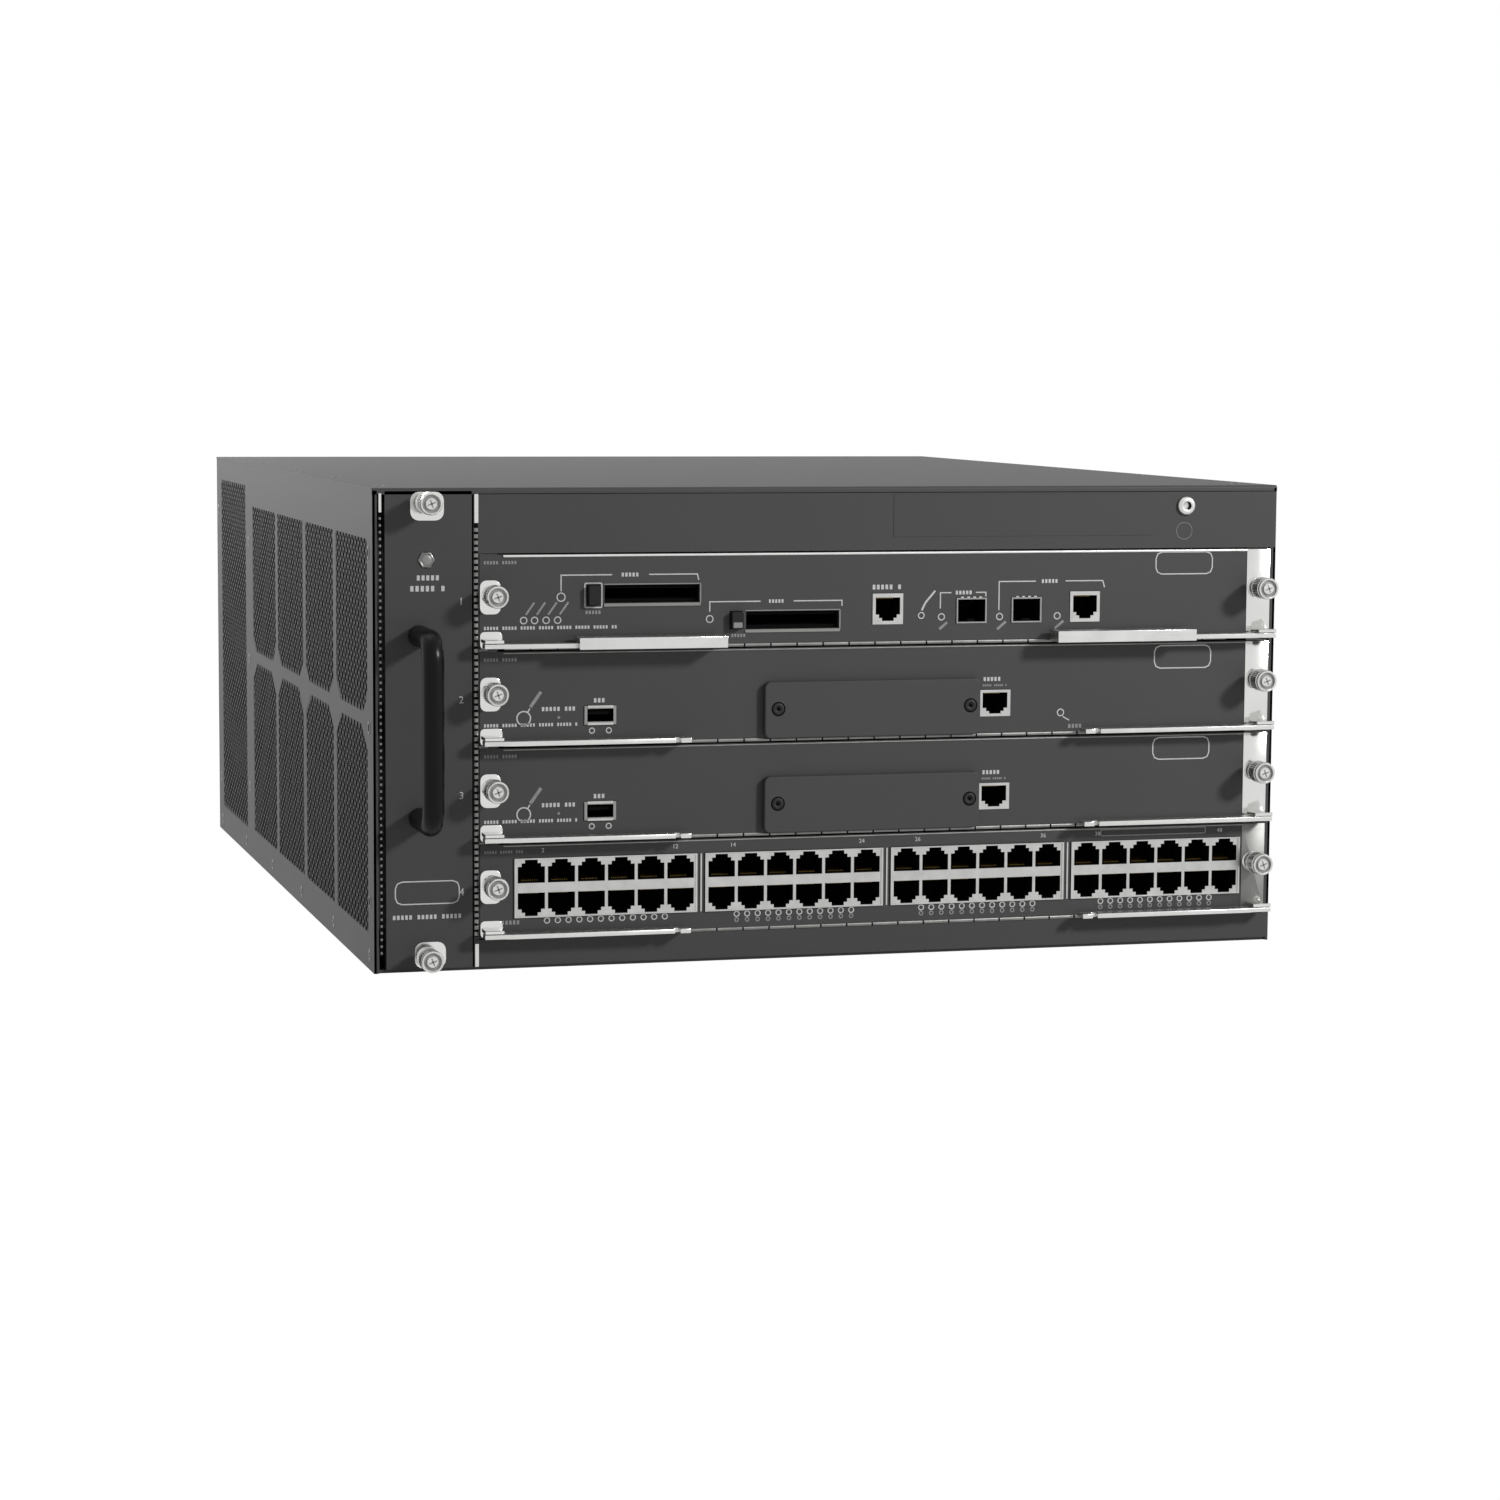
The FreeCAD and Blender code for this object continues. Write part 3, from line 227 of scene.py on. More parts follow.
# Hard-gold contacts, in the shade of their socket.
GOLD = Finish("gold_plated_contact", "#8f783e", "#7c6833", 0.3, metallic=1.0, grain_mm=0.3, relief=0.03)
# Light pipe of a status light, off: milky grey.
LENS = Finish("milky_light_pipe", "#7b7d7b", "#6e706e", 0.35, specular=0.4, grain_mm=0.6, relief=0.03,
              mottle_mm=3.0)
# Screen-printed ink: pale grey, matt, slightly uneven.
INK = Finish("screen_printed_ink", "#b4b4b4", "#9f9f9f", 0.6, specular=0.2, grain_mm=0.25, relief=0.08,
             mottle_mm=2.5)
# Grey ink of the fine captions, printed thinner.
FAINT_INK = Finish("thin_printed_ink", "#858585", "#6c6c6c", 0.6, specular=0.2, grain_mm=0.25, relief=0.08,
                   mottle_mm=2.0)
# Textured grey enamel of the supplies' cases.
SUPPLY = Finish("grey_supply_enamel", "#7a7a7a", "#727272", 0.48, specular=0.3, grain_mm=0.9)
# Solder mask on glass epoxy.
BOARD = TracedBoard("green_solder_mask", "#0f3d25", "#1d5a39", 0.35, specular=0.4, relief=0.1)


class Slot(Enum):
    """The record's material slots."""

    PAINT = "charcoal_paint"
    PLATED = "zinc_plated_steel"
    TURNED = "turned_steel"
    BRASS = "jack_brass"
    ENAMEL = "black_enamel"
    SUPPLY = "supply_case"
    MOULDED = "black_moulding"
    LIGHT = "status_lens"


# ---------------------------------------------------------------- surfaces

@dataclass
class Shell:
    """A surface: its points, and its faces in groups of equal corner count, each with a finish number."""

    points: np.ndarray
    faces: list[np.ndarray]
    paints: list[int]

    def painted(self, number: int) -> "Shell":
        """The same surface with one finish number all over."""
        return Shell(self.points, self.faces, [number] * len(self.faces))

    def moved(self, across: float = 0.0, up: float = 0.0, out: float = 0.0) -> "Shell":
        """The same surface, shifted."""
        return Shell(self.points + np.array([across, up, out]), self.faces, self.paints)


def joined(shells: Sequence[Shell]) -> Shell:
    """Several surfaces as one, each keeping its own points."""
    starts = np.cumsum([0] + [len(shell.points) for shell in shells])
    faces = [group + start for shell, start in zip(shells, starts) for group in shell.faces]
    paints = [paint for shell in shells for paint in shell.paints]
    return Shell(np.concatenate([shell.points for shell in shells]), faces, paints)


def repeated(shell: Shell, offsets: np.ndarray) -> Shell:
    """Copies of one surface as one, each moved by one of the (k, 3) offsets."""
    points = (shell.points[None] + np.asarray(offsets, float)[:, None]).reshape(-1, 3)
    jumps = (np.arange(len(offsets)) * len(shell.points))[:, None, None]
    faces = [(group[None] + jumps).reshape(-1, group.shape[1]) for group in shell.faces]
    return Shell(points, faces, list(shell.paints))


def grid(a: Sequence[float], b: Sequence[float]) -> np.ndarray:
    """Every pairing of two rows of values, as (n, 2)."""
    return np.stack(np.meshgrid(a, b, indexing="ij"), -1).reshape(-1, 2)


def spread(across: Sequence[float], up: Sequence[float] = (0.0,)) -> np.ndarray:
    """Every pairing of some across and up shifts, as offsets."""
    return np.pad(grid(across, up), ((0, 0), (0, 1)))


def circle(sides: int) -> np.ndarray:
    """The corners of a regular polygon of radius one, as (n, 2)."""
    turn = np.linspace(0, 2 * math.pi, sides, endpoint=False)
    return np.stack([np.cos(turn), np.sin(turn)], -1)


def stacked(loops: np.ndarray, looped: bool = False) -> Shell:
    """Skin a stack of loops with quads, from each loop to the next.

    Args:
        loops: (rows, sides, 3) points; every loop has the same number of sides.
        looped: join the last loop to the first; otherwise both ends get a flat cap.

    Returns:
        A closed surface.
    """
    rows, sides = loops.shape[:2]
    starts = (np.arange(rows if looped else rows - 1) * sides)[:, None]
    following = (starts + sides) % (rows * sides)
    here, beside = np.arange(sides)[None], (np.arange(sides)[None] + 1) % sides
    corners = np.broadcast_arrays(starts + here, starts + beside, following + beside, following + here)
    faces = [np.stack(corners, -1).reshape(-1, 4)]
    if not looped:
        ring = np.arange(sides)
        faces.append(np.stack([ring[::-1], (rows - 1) * sides + ring]))
    return Shell(loops.reshape(-1, 3), faces, [0] * len(faces))


def carried(section: Pairs, start: float, end: float) -> Shell:
    """A section of (up, out) points, carried across from a start to an end."""
    flat = np.array(section, float)
    return stacked(np.stack([np.c_[np.full(len(flat), across), flat] for across in (start, end)]))


def turned(profile: Pairs, sides: int, teeth: float = 0.0,
           toothed: tuple[float, float] = (0.0, 0.0)) -> Shell:
    """Turn a profile round the out axis: radius times cosine and sine of the angle, at each height.

    Args:
        profile: (radius, out) pairs from one end to the other.
        sides: corners of each ring.
        teeth: how much every second corner is drawn in, for a straight knurl.
        toothed: the range of out in which the knurl lies.

    Returns:
        A closed surface.
    """
    rows = np.array(profile, float)
    radius = np.repeat(rows[:, :1], sides, axis=1)
    cut = (rows[:, 1] >= toothed[0]) & (rows[:, 1] <= toothed[1])
    radius -= teeth * cut[:, None] * (np.arange(sides) % 2)[None]
    heights = np.broadcast_to(rows[:, 1:], radius.shape)
    return stacked(np.concatenate([radius[..., None] * circle(sides), heights[..., None]], -1))


def disc(*profile: tuple[float, float], sides: int = 24) -> Shell:
    """A turned disc, closed at its middle at the height of the profile's last pair."""
    return turned([*profile, (0.05, profile[-1][1])], sides)


def rounded(width: float, height: float, radius: float, arc: int = 4) -> np.ndarray:
    """A rectangle about the origin with quarter-circle corners.

    Args:
        width: its width.
        height: its height.
        radius: the corner radius.
        arc: steps of each corner.

    Returns:
        (n, 2) points, counter-clockwise.
    """
    radius = max(min(radius, width / 2 - 1e-3, height / 2 - 1e-3), 1e-3)
    turn = np.linspace(0, math.pi / 2, arc + 1)
    corner = radius * np.stack([np.cos(turn), np.sin(turn)], -1)
    middle = (width / 2 - radius, height / 2 - radius)
    parts = []
    for k, signs in enumerate(((1, 1), (-1, 1), (-1, -1), (1, -1))):
        c, s = math.cos(k * math.pi / 2), math.sin(k * math.pi / 2)
        parts.append(corner @ np.array([[c, s], [-s, c]]) + np.multiply(signs, middle))
    return np.concatenate(parts)


def slab(left: float, low: float, right: float, high: float, radius: float,
         *levels: tuple[float, float]) -> Shell:
    """A raised pad: rounded rectangles stacked outwards, each drawn in by its level's inset.

    Args:
        left, low, right, high: the pad's sides.
        radius: its corner radius.
        levels: (inset, out) pairs.

    Returns:
        A closed surface.
    """
    loops = []
    for inset, out in levels:
        flat = rounded(right - left - 2 * inset, high - low - 2 * inset, max(radius - inset, 0.05))
        loops.append(np.c_[flat + [(left + right) / 2, (low + high) / 2], np.full(len(flat), out)])
    return stacked(np.stack(loops))


def pad(left: float, low: float, right: float, high: float, radius: float, top: float,
        inset: float = 0.1) -> Shell:
    """A slab that stands on the face, with its edges leaning in by an inset up to its top."""
    return slab(left, low, right, high, radius, (0, 0.01), (inset, top))


def stroke(path: Pairs, width: float, low: float, high: float, looped: bool = False) -> Shell:
    """A line drawn on a face: a thin bar whose corners are mitred.

    Each point is pushed to both sides along the mean of its two normals, lengthened by one over
    the cosine of half the turn.

    Args:
        path: (n, 2) points.
        width: the line's width.
        low: where its underside lies, out from the face.
        high: where its top lies.
        looped: whether it closes on itself.

    Returns:
        A closed surface.
    """
    points = np.array(path, float)
    ahead = np.roll(points, -1, axis=0) - points
    if not looped:
        ahead[-1] = ahead[-2]
    ahead /= np.linalg.norm(ahead, axis=1, keepdims=True)
    behind = np.roll(ahead, 1, axis=0)
    if not looped:
        behind[0] = ahead[0]
    normal = np.stack([-(ahead + behind)[:, 1], (ahead + behind)[:, 0]], -1)
    normal /= np.linalg.norm(normal, axis=1, keepdims=True)
    facing = np.stack([-ahead[:, 1], ahead[:, 0]], -1)
    side = normal * (width / 2 / (normal * facing).sum(1, keepdims=True))
    loops = [np.c_[points + sign * side, np.full(len(points), out)]
             for sign, out in ((1, low), (-1, low), (-1, high), (1, high))]
    return stacked(np.stack(loops, 1), looped)


def crossed(reach: float, width: float, low: float, high: float, c: float, s: float) -> list[Shell]:
    """The two dark bars that draw a cross recess as painted shade, the first of them along (c, s)."""
    return [stroke([(-reach * a, -reach * b), (reach * a, reach * b)], width, low, high).painted(1)
            for a, b in ((c, s), (-s, c))]


def wire(path: np.ndarray, radius: float, sides: int, upright: Triple) -> Shell:
    """A round rod along a path: a circle set square to the path at each of its points.

    Args:
        path: (n, 3) points.
        radius: the rod's radius.
        sides: corners of the circle.
        upright: a direction that the path never runs along.

    Returns:
        A closed surface.
    """
    ahead = np.gradient(path, axis=0)
    ahead /= np.linalg.norm(ahead, axis=1, keepdims=True)
    beside = np.cross(ahead, upright)
    beside /= np.linalg.norm(beside, axis=1, keepdims=True)
    c, s = circle(sides).T[:, None, :, None]
    return stacked(path[:, None] + radius * (c * beside[:, None] + s * np.cross(beside, ahead)[:, None]))


def welded(points: np.ndarray, faces: list[np.ndarray]) -> tuple[np.ndarray, list[np.ndarray]]:
    """Merge flat points that coincide, and renumber the groups of faces."""
    _, first, where = np.unique(np.round(points, 3), axis=0, return_index=True, return_inverse=True)
    return points[first], [where.reshape(-1)[group] for group in faces]


def raised(points: np.ndarray, faces: list[np.ndarray], low: float, high: float) -> Shell:
    """Give a flat net of welded faces a thickness.

    The net is copied to both levels, and a wall stands on each edge that only one face has.

    Args:
        points: (n, 2) points.
        faces: groups of faces.
        low: the lower level.
        high: the upper level.

    Returns:
        A closed surface.
    """
    count = len(points)
    both = np.concatenate([np.c_[points, np.full(count, high)], np.c_[points, np.full(count, low)]])
    edges = np.concatenate([np.stack([group, np.roll(group, -1, axis=1)], -1).reshape(-1, 2)
                            for group in faces])
    _, first, uses = np.unique(np.sort(edges, axis=1), axis=0, return_index=True, return_counts=True)
    rim = edges[first[uses == 1]]
    walls = np.stack([rim[:, 1], rim[:, 0], rim[:, 0] + count, rim[:, 1] + count], -1)
    groups = [*faces, *[group[:, ::-1] + count for group in faces], walls]
    return Shell(both, groups, [0] * len(groups))


def fretted(across: Sequence[float], up: Sequence[float], openings: Sequence[Box], low: float, high: float,
            fills: Sequence[Pairs] = ()) -> Shell:
    """A sheet cut by upright and level lines, with its open cells left out.

    Args:
        across: places of the upright lines.
        up: places of the level lines.
        openings: (left, low, right, high) of each opening, on those lines.
        low: the sheet's lower level.
        high: its upper level.
        fills: triangles that stay in the openings, on crossings of those lines.

    Returns:
        A closed surface.
    """
    a_lines, b_lines = np.unique(np.round(across, 4)), np.unique(np.round(up, 4))
    points, rows = grid(a_lines, b_lines), len(b_lines)
    i, j = grid(np.arange(len(a_lines) - 1), np.arange(rows - 1)).T
    a, b = (a_lines[i] + a_lines[i + 1]) / 2, (b_lines[j] + b_lines[j + 1]) / 2
    solid = np.ones(len(i), bool)
    for left, bottom, right, top in openings:
        solid &= ~((a > left) & (a < right) & (b > bottom) & (b < top))
    corner = (i * rows + j)[solid]
    faces = [np.stack([corner, corner + rows, corner + rows + 1, corner + 1], -1)]
    if len(fills):
        corners = np.array(fills, float).reshape(-1, 2)
        points = np.concatenate([points, corners])
        faces.append(np.arange(len(points) - len(corners), len(points)).reshape(-1, 3))
        points, faces = welded(points, faces)
    return raised(points, faces, low, high)


# ---------------------------------------------------------------- faces and pieces

@dataclass(frozen=True)
class Face:
    """A flat side that details stand on: its origin and its across, up and out directions."""

    origin: Sequence[float]
    across: Triple = (1, 0, 0)
    up: Triple = (0, 0, 1)
    out: Triple = (0, -1, 0)

    def lay(self, *shells: Shell) -> Shell:
        """Surfaces as one, carried from the face's own directions to the switch's."""
        shell = joined(shells)
        turn = np.array([self.across, self.up, self.out], float)
        return Shell(np.array(self.origin) + shell.points @ turn, shell.faces, shell.paints)


def box(node: str) -> tuple[np.ndarray, np.ndarray]:
    """The lowest and highest corners of a solid, in millimetres."""
    low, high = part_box(node)
    return np.array(low) / MM, np.array(high) / MM


def turn_outwards(mesh: bpy.types.Mesh, weld: bool = False) -> None:
    """Make every closed part of a mesh face outwards, and keep its creases sharp.

    Args:
        mesh: the mesh.
        weld: merge coincident points and flat neighbours first.
    """
    work = bmesh.new()
    work.from_mesh(mesh)
    if weld:
        bmesh.ops.remove_doubles(work, verts=work.verts, dist=0.005 * MM)
        bmesh.ops.dissolve_limit(work, angle_limit=math.radians(1), verts=work.verts, edges=work.edges)
    bmesh.ops.recalc_face_normals(work, faces=work.faces)
    work.to_mesh(mesh)
    work.free()
    if weld:
        mesh.polygons.foreach_set("material_index", np.zeros(len(mesh.polygons), np.int32))
    mesh.shade_smooth()
    mesh.set_sharp_from_angle(angle=CREASE)


def piece(name: str, shell: Shell, finishes: Sequence[Finish], body: str, slot: Slot,
          *replaces: str) -> bpy.types.Object:
    """Make one piece of the visual model.

    Args:
        name: the piece's name.
        shell: its surface.
        finishes: its finishes, in the order of the surface's finish numbers.
        body: the body that it moves with.
        slot: its material slot; not used.
        replaces: the solids that it stands for.

    Returns:
        The new object.
    """
    flat = np.concatenate([group.ravel() for group in shell.faces])
    used, corners = np.unique(flat, return_inverse=True)
    totals = np.concatenate([np.full(len(group), group.shape[1]) for group in shell.faces])
    paints = np.concatenate([np.full(len(group), paint) for group, paint in zip(shell.faces, shell.paints)])
    mesh = bpy.data.meshes.new(name)
    mesh.vertices.add(len(used))
    mesh.vertices.foreach_set("co", (shell.points[used] * MM).astype(np.float32).ravel())
    mesh.loops.add(len(corners))
    mesh.loops.foreach_set("vertex_index", corners.reshape(-1).astype(np.int32))
    mesh.polygons.add(len(totals))
    mesh.polygons.foreach_set("loop_start", (np.cumsum(totals) - totals).astype(np.int32))
    mesh.polygons.foreach_set("material_index", paints.astype(np.int32))
    mesh.update(calc_edges=True)
    mesh.validate()
    for finish in finishes:
        mesh.materials.append(finish.material())
    turn_outwards(mesh)
    return settle(bpy.data.objects.new(name, mesh), body, replaces)


def settle(item: bpy.types.Object, body: str, replaces: Sequence[str]) -> bpy.types.Object:
    """Put an object into the scene, on its body and in place of its solids."""
    bpy.context.scene.collection.objects.link(item)
    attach(item, body)
    if replaces:
        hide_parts(*replaces)
    log.info("%s: %d faces on %s", item.name, len(item.data.polygons), body)
    return item


def eased(node: str, name: str, finish: Finish, width: float) -> bpy.types.Object:
    """A merged copy of a solid with its edges rolled over, which stands for it.

    Args:
        node: the solid.
        name: the new piece's name.
        finish: its finish.
        width: how far from each edge the roll starts.

    Returns:
        The new object.
    """
    source = frame["nodes"][node]
    mesh = source.data.copy()
    mesh.materials.clear()
    mesh.materials.append(finish.material())
    turn_outwards(mesh, weld=True)
    item = bpy.data.objects.new(name, mesh)
    roll = item.modifiers.new("rolled_edges", "BEVEL")
    roll.width, roll.segments, roll.limit_method = width * MM, 2, "ANGLE"
    roll.angle_limit = math.radians(40)
    return settle(item, source["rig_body"], [node])


def dress(finish: Finish, *nodes: str) -> None:
    """Give some solids a finish."""
    for node in nodes:
        item = frame["nodes"][node]
        if not item.material_slots:
            item.data.materials.append(finish.material())
        for holder in item.material_slots:
            holder.material = finish.material()


FRONT = box("front_frame")[0][1]
REAR = box("rear_panel")[1][1]
LEFT, RIGHT = box("left_side_panel")[0][0], box("right_side_panel")[1][0]
TOP = box("top_cover")[1][2]


def front_face(node: str) -> Face:
    """The front of a solid, with its origin at the lower left corner."""
    low, _ = box(node)
    return Face((low[0], FRONT, low[2]))


# ---------------------------------------------------------------- print

@dataclass
class Print:
    """Marks printed on one face: lines, rings, rows of small dashes and numbers."""

    lift: float = 0.02
    thick: float = 0.05
    line_width: float = 0.55
    marks: list[Shell] = field(default_factory=list)

    def draw(self, path: Pairs, width: float, faint: bool, looped: bool = False) -> None:
        """Draw one line, in the main ink or the fainter one."""
        self.marks.append(stroke(path, width, self.lift, self.lift + self.thick, looped).painted(int(faint)))

    def lines(self, *paths: Pairs, width: float | None = None, faint: bool = False) -> None:
        """Draw lines through their points."""
        for path in paths:
            self.draw(path, width or self.line_width, faint)

    def rings(self, *rings: Triple, width: float = 0.5, steps: int = 20, faint: bool = False) -> None:
        """Draw rings, each given by its middle and its radius."""
        for across, up, radius in rings:
            self.draw(radius * circle(steps) + [across, up], width, faint, looped=True)

    def frame(self, left: float, low: float, right: float, high: float, cut: float,
              faint: bool = False) -> None:
        """Draw the outline of a rectangle with cut corners."""
        path = rounded(right - left, high - low, cut, 2) + [(left + right) / 2, (low + high) / 2]
        self.draw(path, self.line_width, faint, looped=True)

    def dashes(self, *rows: Box, faint: bool = True) -> None:
        """Print plain rows of short dashes, with a wider gap after every fifth.

        Args:
            rows: for each row its left end, its right end at the latest, its middle height and its height.
            faint: whether they are in the fainter ink.
        """
        for left, right, up, height in rows:
            step = 0.95 * height
            places = left + step * np.arange(int((right - left) / step) + 1)
            places = places[(np.arange(len(places)) % 6) != 5]
            dash = slab(0, up - height / 2, 0.6 * height, up + height / 2, 0.1,
                        (0, self.lift), (0, self.lift + self.thick))
            self.marks.append(repeated(dash, spread(places)).painted(int(faint)))

    def numeral(self, number: int, across: float, up: float, height: float) -> None:
        """Print a number, as a flat extruded outline.

        Args:
            number: the number.
            across: the middle of its width.
            up: its foot.
            height: the height of its figures.
        """
        curve = bpy.data.curves.new("numeral", "FONT")
        curve.body, curve.size, curve.align_x = str(number), height / 0.7, "CENTER"
        curve.resolution_u, curve.extrude = 2, self.thick / 2
        holder = bpy.data.objects.new("numeral", curve)
        mesh = bpy.data.meshes.new_from_object(holder)
        points = np.zeros(len(mesh.vertices) * 3)
        mesh.vertices.foreach_get("co", points)
        sizes = sorted({len(face.vertices) for face in mesh.polygons})
        faces = [np.array([face.vertices[:] for face in mesh.polygons if len(face.vertices) == size])
                 for size in sizes]
        place = np.array([across, up, self.lift + self.thick / 2])
        self.marks.append(Shell(points.reshape(-1, 3) + place, faces, [0] * len(faces)))
        for item, holds in ((holder, bpy.data.objects), (curve, bpy.data.curves), (mesh, bpy.data.meshes)):
            holds.remove(item)

    def finish(self, name: str, face: Face, body: str) -> None:
        """Make the marks one piece on a face."""
        piece(name, face.lay(*self.marks), [INK, FAINT_INK], body, Slot.LIGHT)


# ---------------------------------------------------------------- side panels and cover

@dataclass(frozen=True)
class Window:
    """A perforated field of a side panel; its lower or upper corners may be cut."""

    left: float
    low: float
    right: float
    high: float
    low_cut: tuple[float, float] = (0.0, 0.0)
    high_cut: tuple[float, float] = (0.0, 0.0)

    def holds(self, across: np.ndarray, up: np.ndarray, margin: float) -> np.ndarray:
        """Whether points lie inside by more than a margin, measured square to every side."""
        gap = np.minimum(across - self.left, self.right - across)
        inside = (gap > margin) & (up > self.low + margin) & (up < self.high - margin)
        for (cut_across, cut_up), rise in ((self.low_cut, up - self.low), (self.high_cut, self.high - up)):
            if cut_across:
                reach = (gap / cut_across + rise / cut_up - 1) / math.hypot(1 / cut_across, 1 / cut_up)
                inside &= reach > margin
        return inside

    def fills(self) -> list[Pairs]:
        """The triangles that stay in the cut corners."""
        cuts = ((self.low_cut, self.low, 1), (self.high_cut, self.high, -1))
        return [[(side, edge), (side + inward * cut_across, edge), (side, edge + way * cut_up)]
                for (cut_across, cut_up), edge, way in cuts if cut_across
                for side, inward in ((self.left, 1), (self.right, -1))]


class Side(Enum):
    """Which side of the switch a panel closes."""

    LEFT = -1
    RIGHT = 1

    def face(self) -> Face:
        """The side's face, measured forward from the rear edge and up from the floor."""
        edge = (LEFT if self is Side.LEFT else RIGHT) - self.value * SKIN_DROP
        return Face((edge, REAR, 0), (0, -1, 0), (0, 0, 1), (self.value, 0, 0))


@dataclass
class SidePanel:
    """A perforated side sheet: four columns of two windows, and a tall vent at the rear of the left one."""

    side: Side
    vents: tuple[Box, ...]
    return_width: float
    return_low: float
    return_high: float
    gauge: float = 1.2
    hole_pitch: float = 5.0
    web: float = 1.2
    margin: float = 0.4
    first_column: float = 60.0
    column_pitch: float = 98.0
    window_width: float = 89.0
    low_window: tuple[float, float] = (17.0, 112.0)
    high_window: tuple[float, float] = (118.0, 198.0)
    low_cut: tuple[float, float] = (16.0, 10.0)
    high_cut: tuple[float, float] = (12.0, 8.0)

    def windows(self) -> list[Window]:
        """The windows."""
        found = [Window(*vent) for vent in self.vents]
        for column in range(4):
            middle = REAR - FRONT - self.first_column - column * self.column_pitch
            left, right = middle - self.window_width / 2, middle + self.window_width / 2
            for (low, high), cuts in ((self.low_window, {"high_cut": self.low_cut}),
                                      (self.high_window, {"low_cut": self.high_cut})):
                found.append(Window(left, low, right, high, **cuts))
        return found

    def field(self, windows: list[Window]) -> Shell:
        """The perforated field: six-sided tiles on a staggered lattice, each with a six-sided hole.

        Tile centres lie a pitch apart in columns that are the pitch times half root three apart. Tiles
        just past a window's edge have no hole; the surround lies over them.
        """
        pitch, radius = self.hole_pitch, self.hole_pitch / math.sqrt(3)
        rise = pitch * math.sqrt(3) / 2
        column, row = grid(np.arange(int((REAR - FRONT) / rise)), np.arange(int(TOP / pitch))).T
        a, b = (column + 0.5) * rise, (row + 0.5 * (column % 2) + 0.5) * pitch
        pierced = np.any([window.holds(a, b, self.margin) for window in windows], axis=0)
        near = np.any([window.holds(a, b, -0.9 * pitch) for window in windows], axis=0) & ~pierced
        turn = np.radians(60 * np.arange(6))
        ring, centres = np.stack([np.cos(turn), np.sin(turn)], -1), np.stack([a, b], -1)
        outer, inner, solid = ((centres[chosen][:, None] + reach * ring).reshape(-1, 2) for chosen, reach in (
            (pierced, radius), (pierced, (pitch - self.web) / math.sqrt(3)), (near, radius)))
        here = np.arange(len(outer)).reshape(-1, 6)
        beside = np.roll(here, -1, axis=1)
        quads = np.stack([here, beside, beside + len(outer), here + len(outer)], -1).reshape(-1, 4)
        tiles = (2 * len(outer) + np.arange(len(solid))).reshape(-1, 6)
        points, faces = welded(np.concatenate([outer, inner, solid]), [quads, tiles])
        # The field is finish 1, the webs' painted shade.
        return raised(points, faces, 0.1 - self.gauge, -0.05).painted(1)

    def surround(self, windows: list[Window]) -> Shell:
        """The plain sheet round the windows."""
        across, up = [0.0, REAR - FRONT], [0.0, TOP - self.gauge - SKIN_DROP]
        for window in windows:
            for cut_across, _ in (window.low_cut, window.high_cut):
                across += [window.left + cut_across, window.right - cut_across]
            up += [window.low, window.high, window.low + window.low_cut[1], window.high - window.high_cut[1]]
        openings = [(window.left, window.low, window.right, window.high) for window in windows]
        fills = [fill for window in windows for fill in window.fills()]
        return fretted(across, up, openings, -self.gauge, 0.0, fills)

    def front_return(self) -> Shell:
        """The narrow fold that shows at the front, beside the tray or the modules."""
        near, far = REAR - FRONT - self.gauge, REAR - FRONT
        flat = np.array([(near, self.return_low), (far, self.return_low), (far, self.return_high),
                         (near, self.return_high)])
        return stacked(np.stack([np.c_[flat, np.full(4, level)]
                                 for level in (SKIN_DROP - self.return_width, -0.05)]))

    def build(self) -> None:
        """Make the panel as one piece."""
        name, windows = self.side.name.lower(), self.windows()
        shell = self.side.face().lay(self.surround(windows), self.field(windows), self.front_return())
        piece("perforated_panel_" + name, shell, [COAT, WEB_SHADE], "chassis", Slot.PAINT, name + "_side_panel")


def cross_screw(radius: float, height: float) -> Shell:
    """A low round screw head with a cross recess."""
    head = disc((radius, 0), (radius, 0.5 * height), (0.8 * radius, 0.9 * height), sides=20)
    return joined([head, *crossed(0.55 * radius, 0.22 * radius, 0.9 * height, height, 0.7071, 0.7071)])


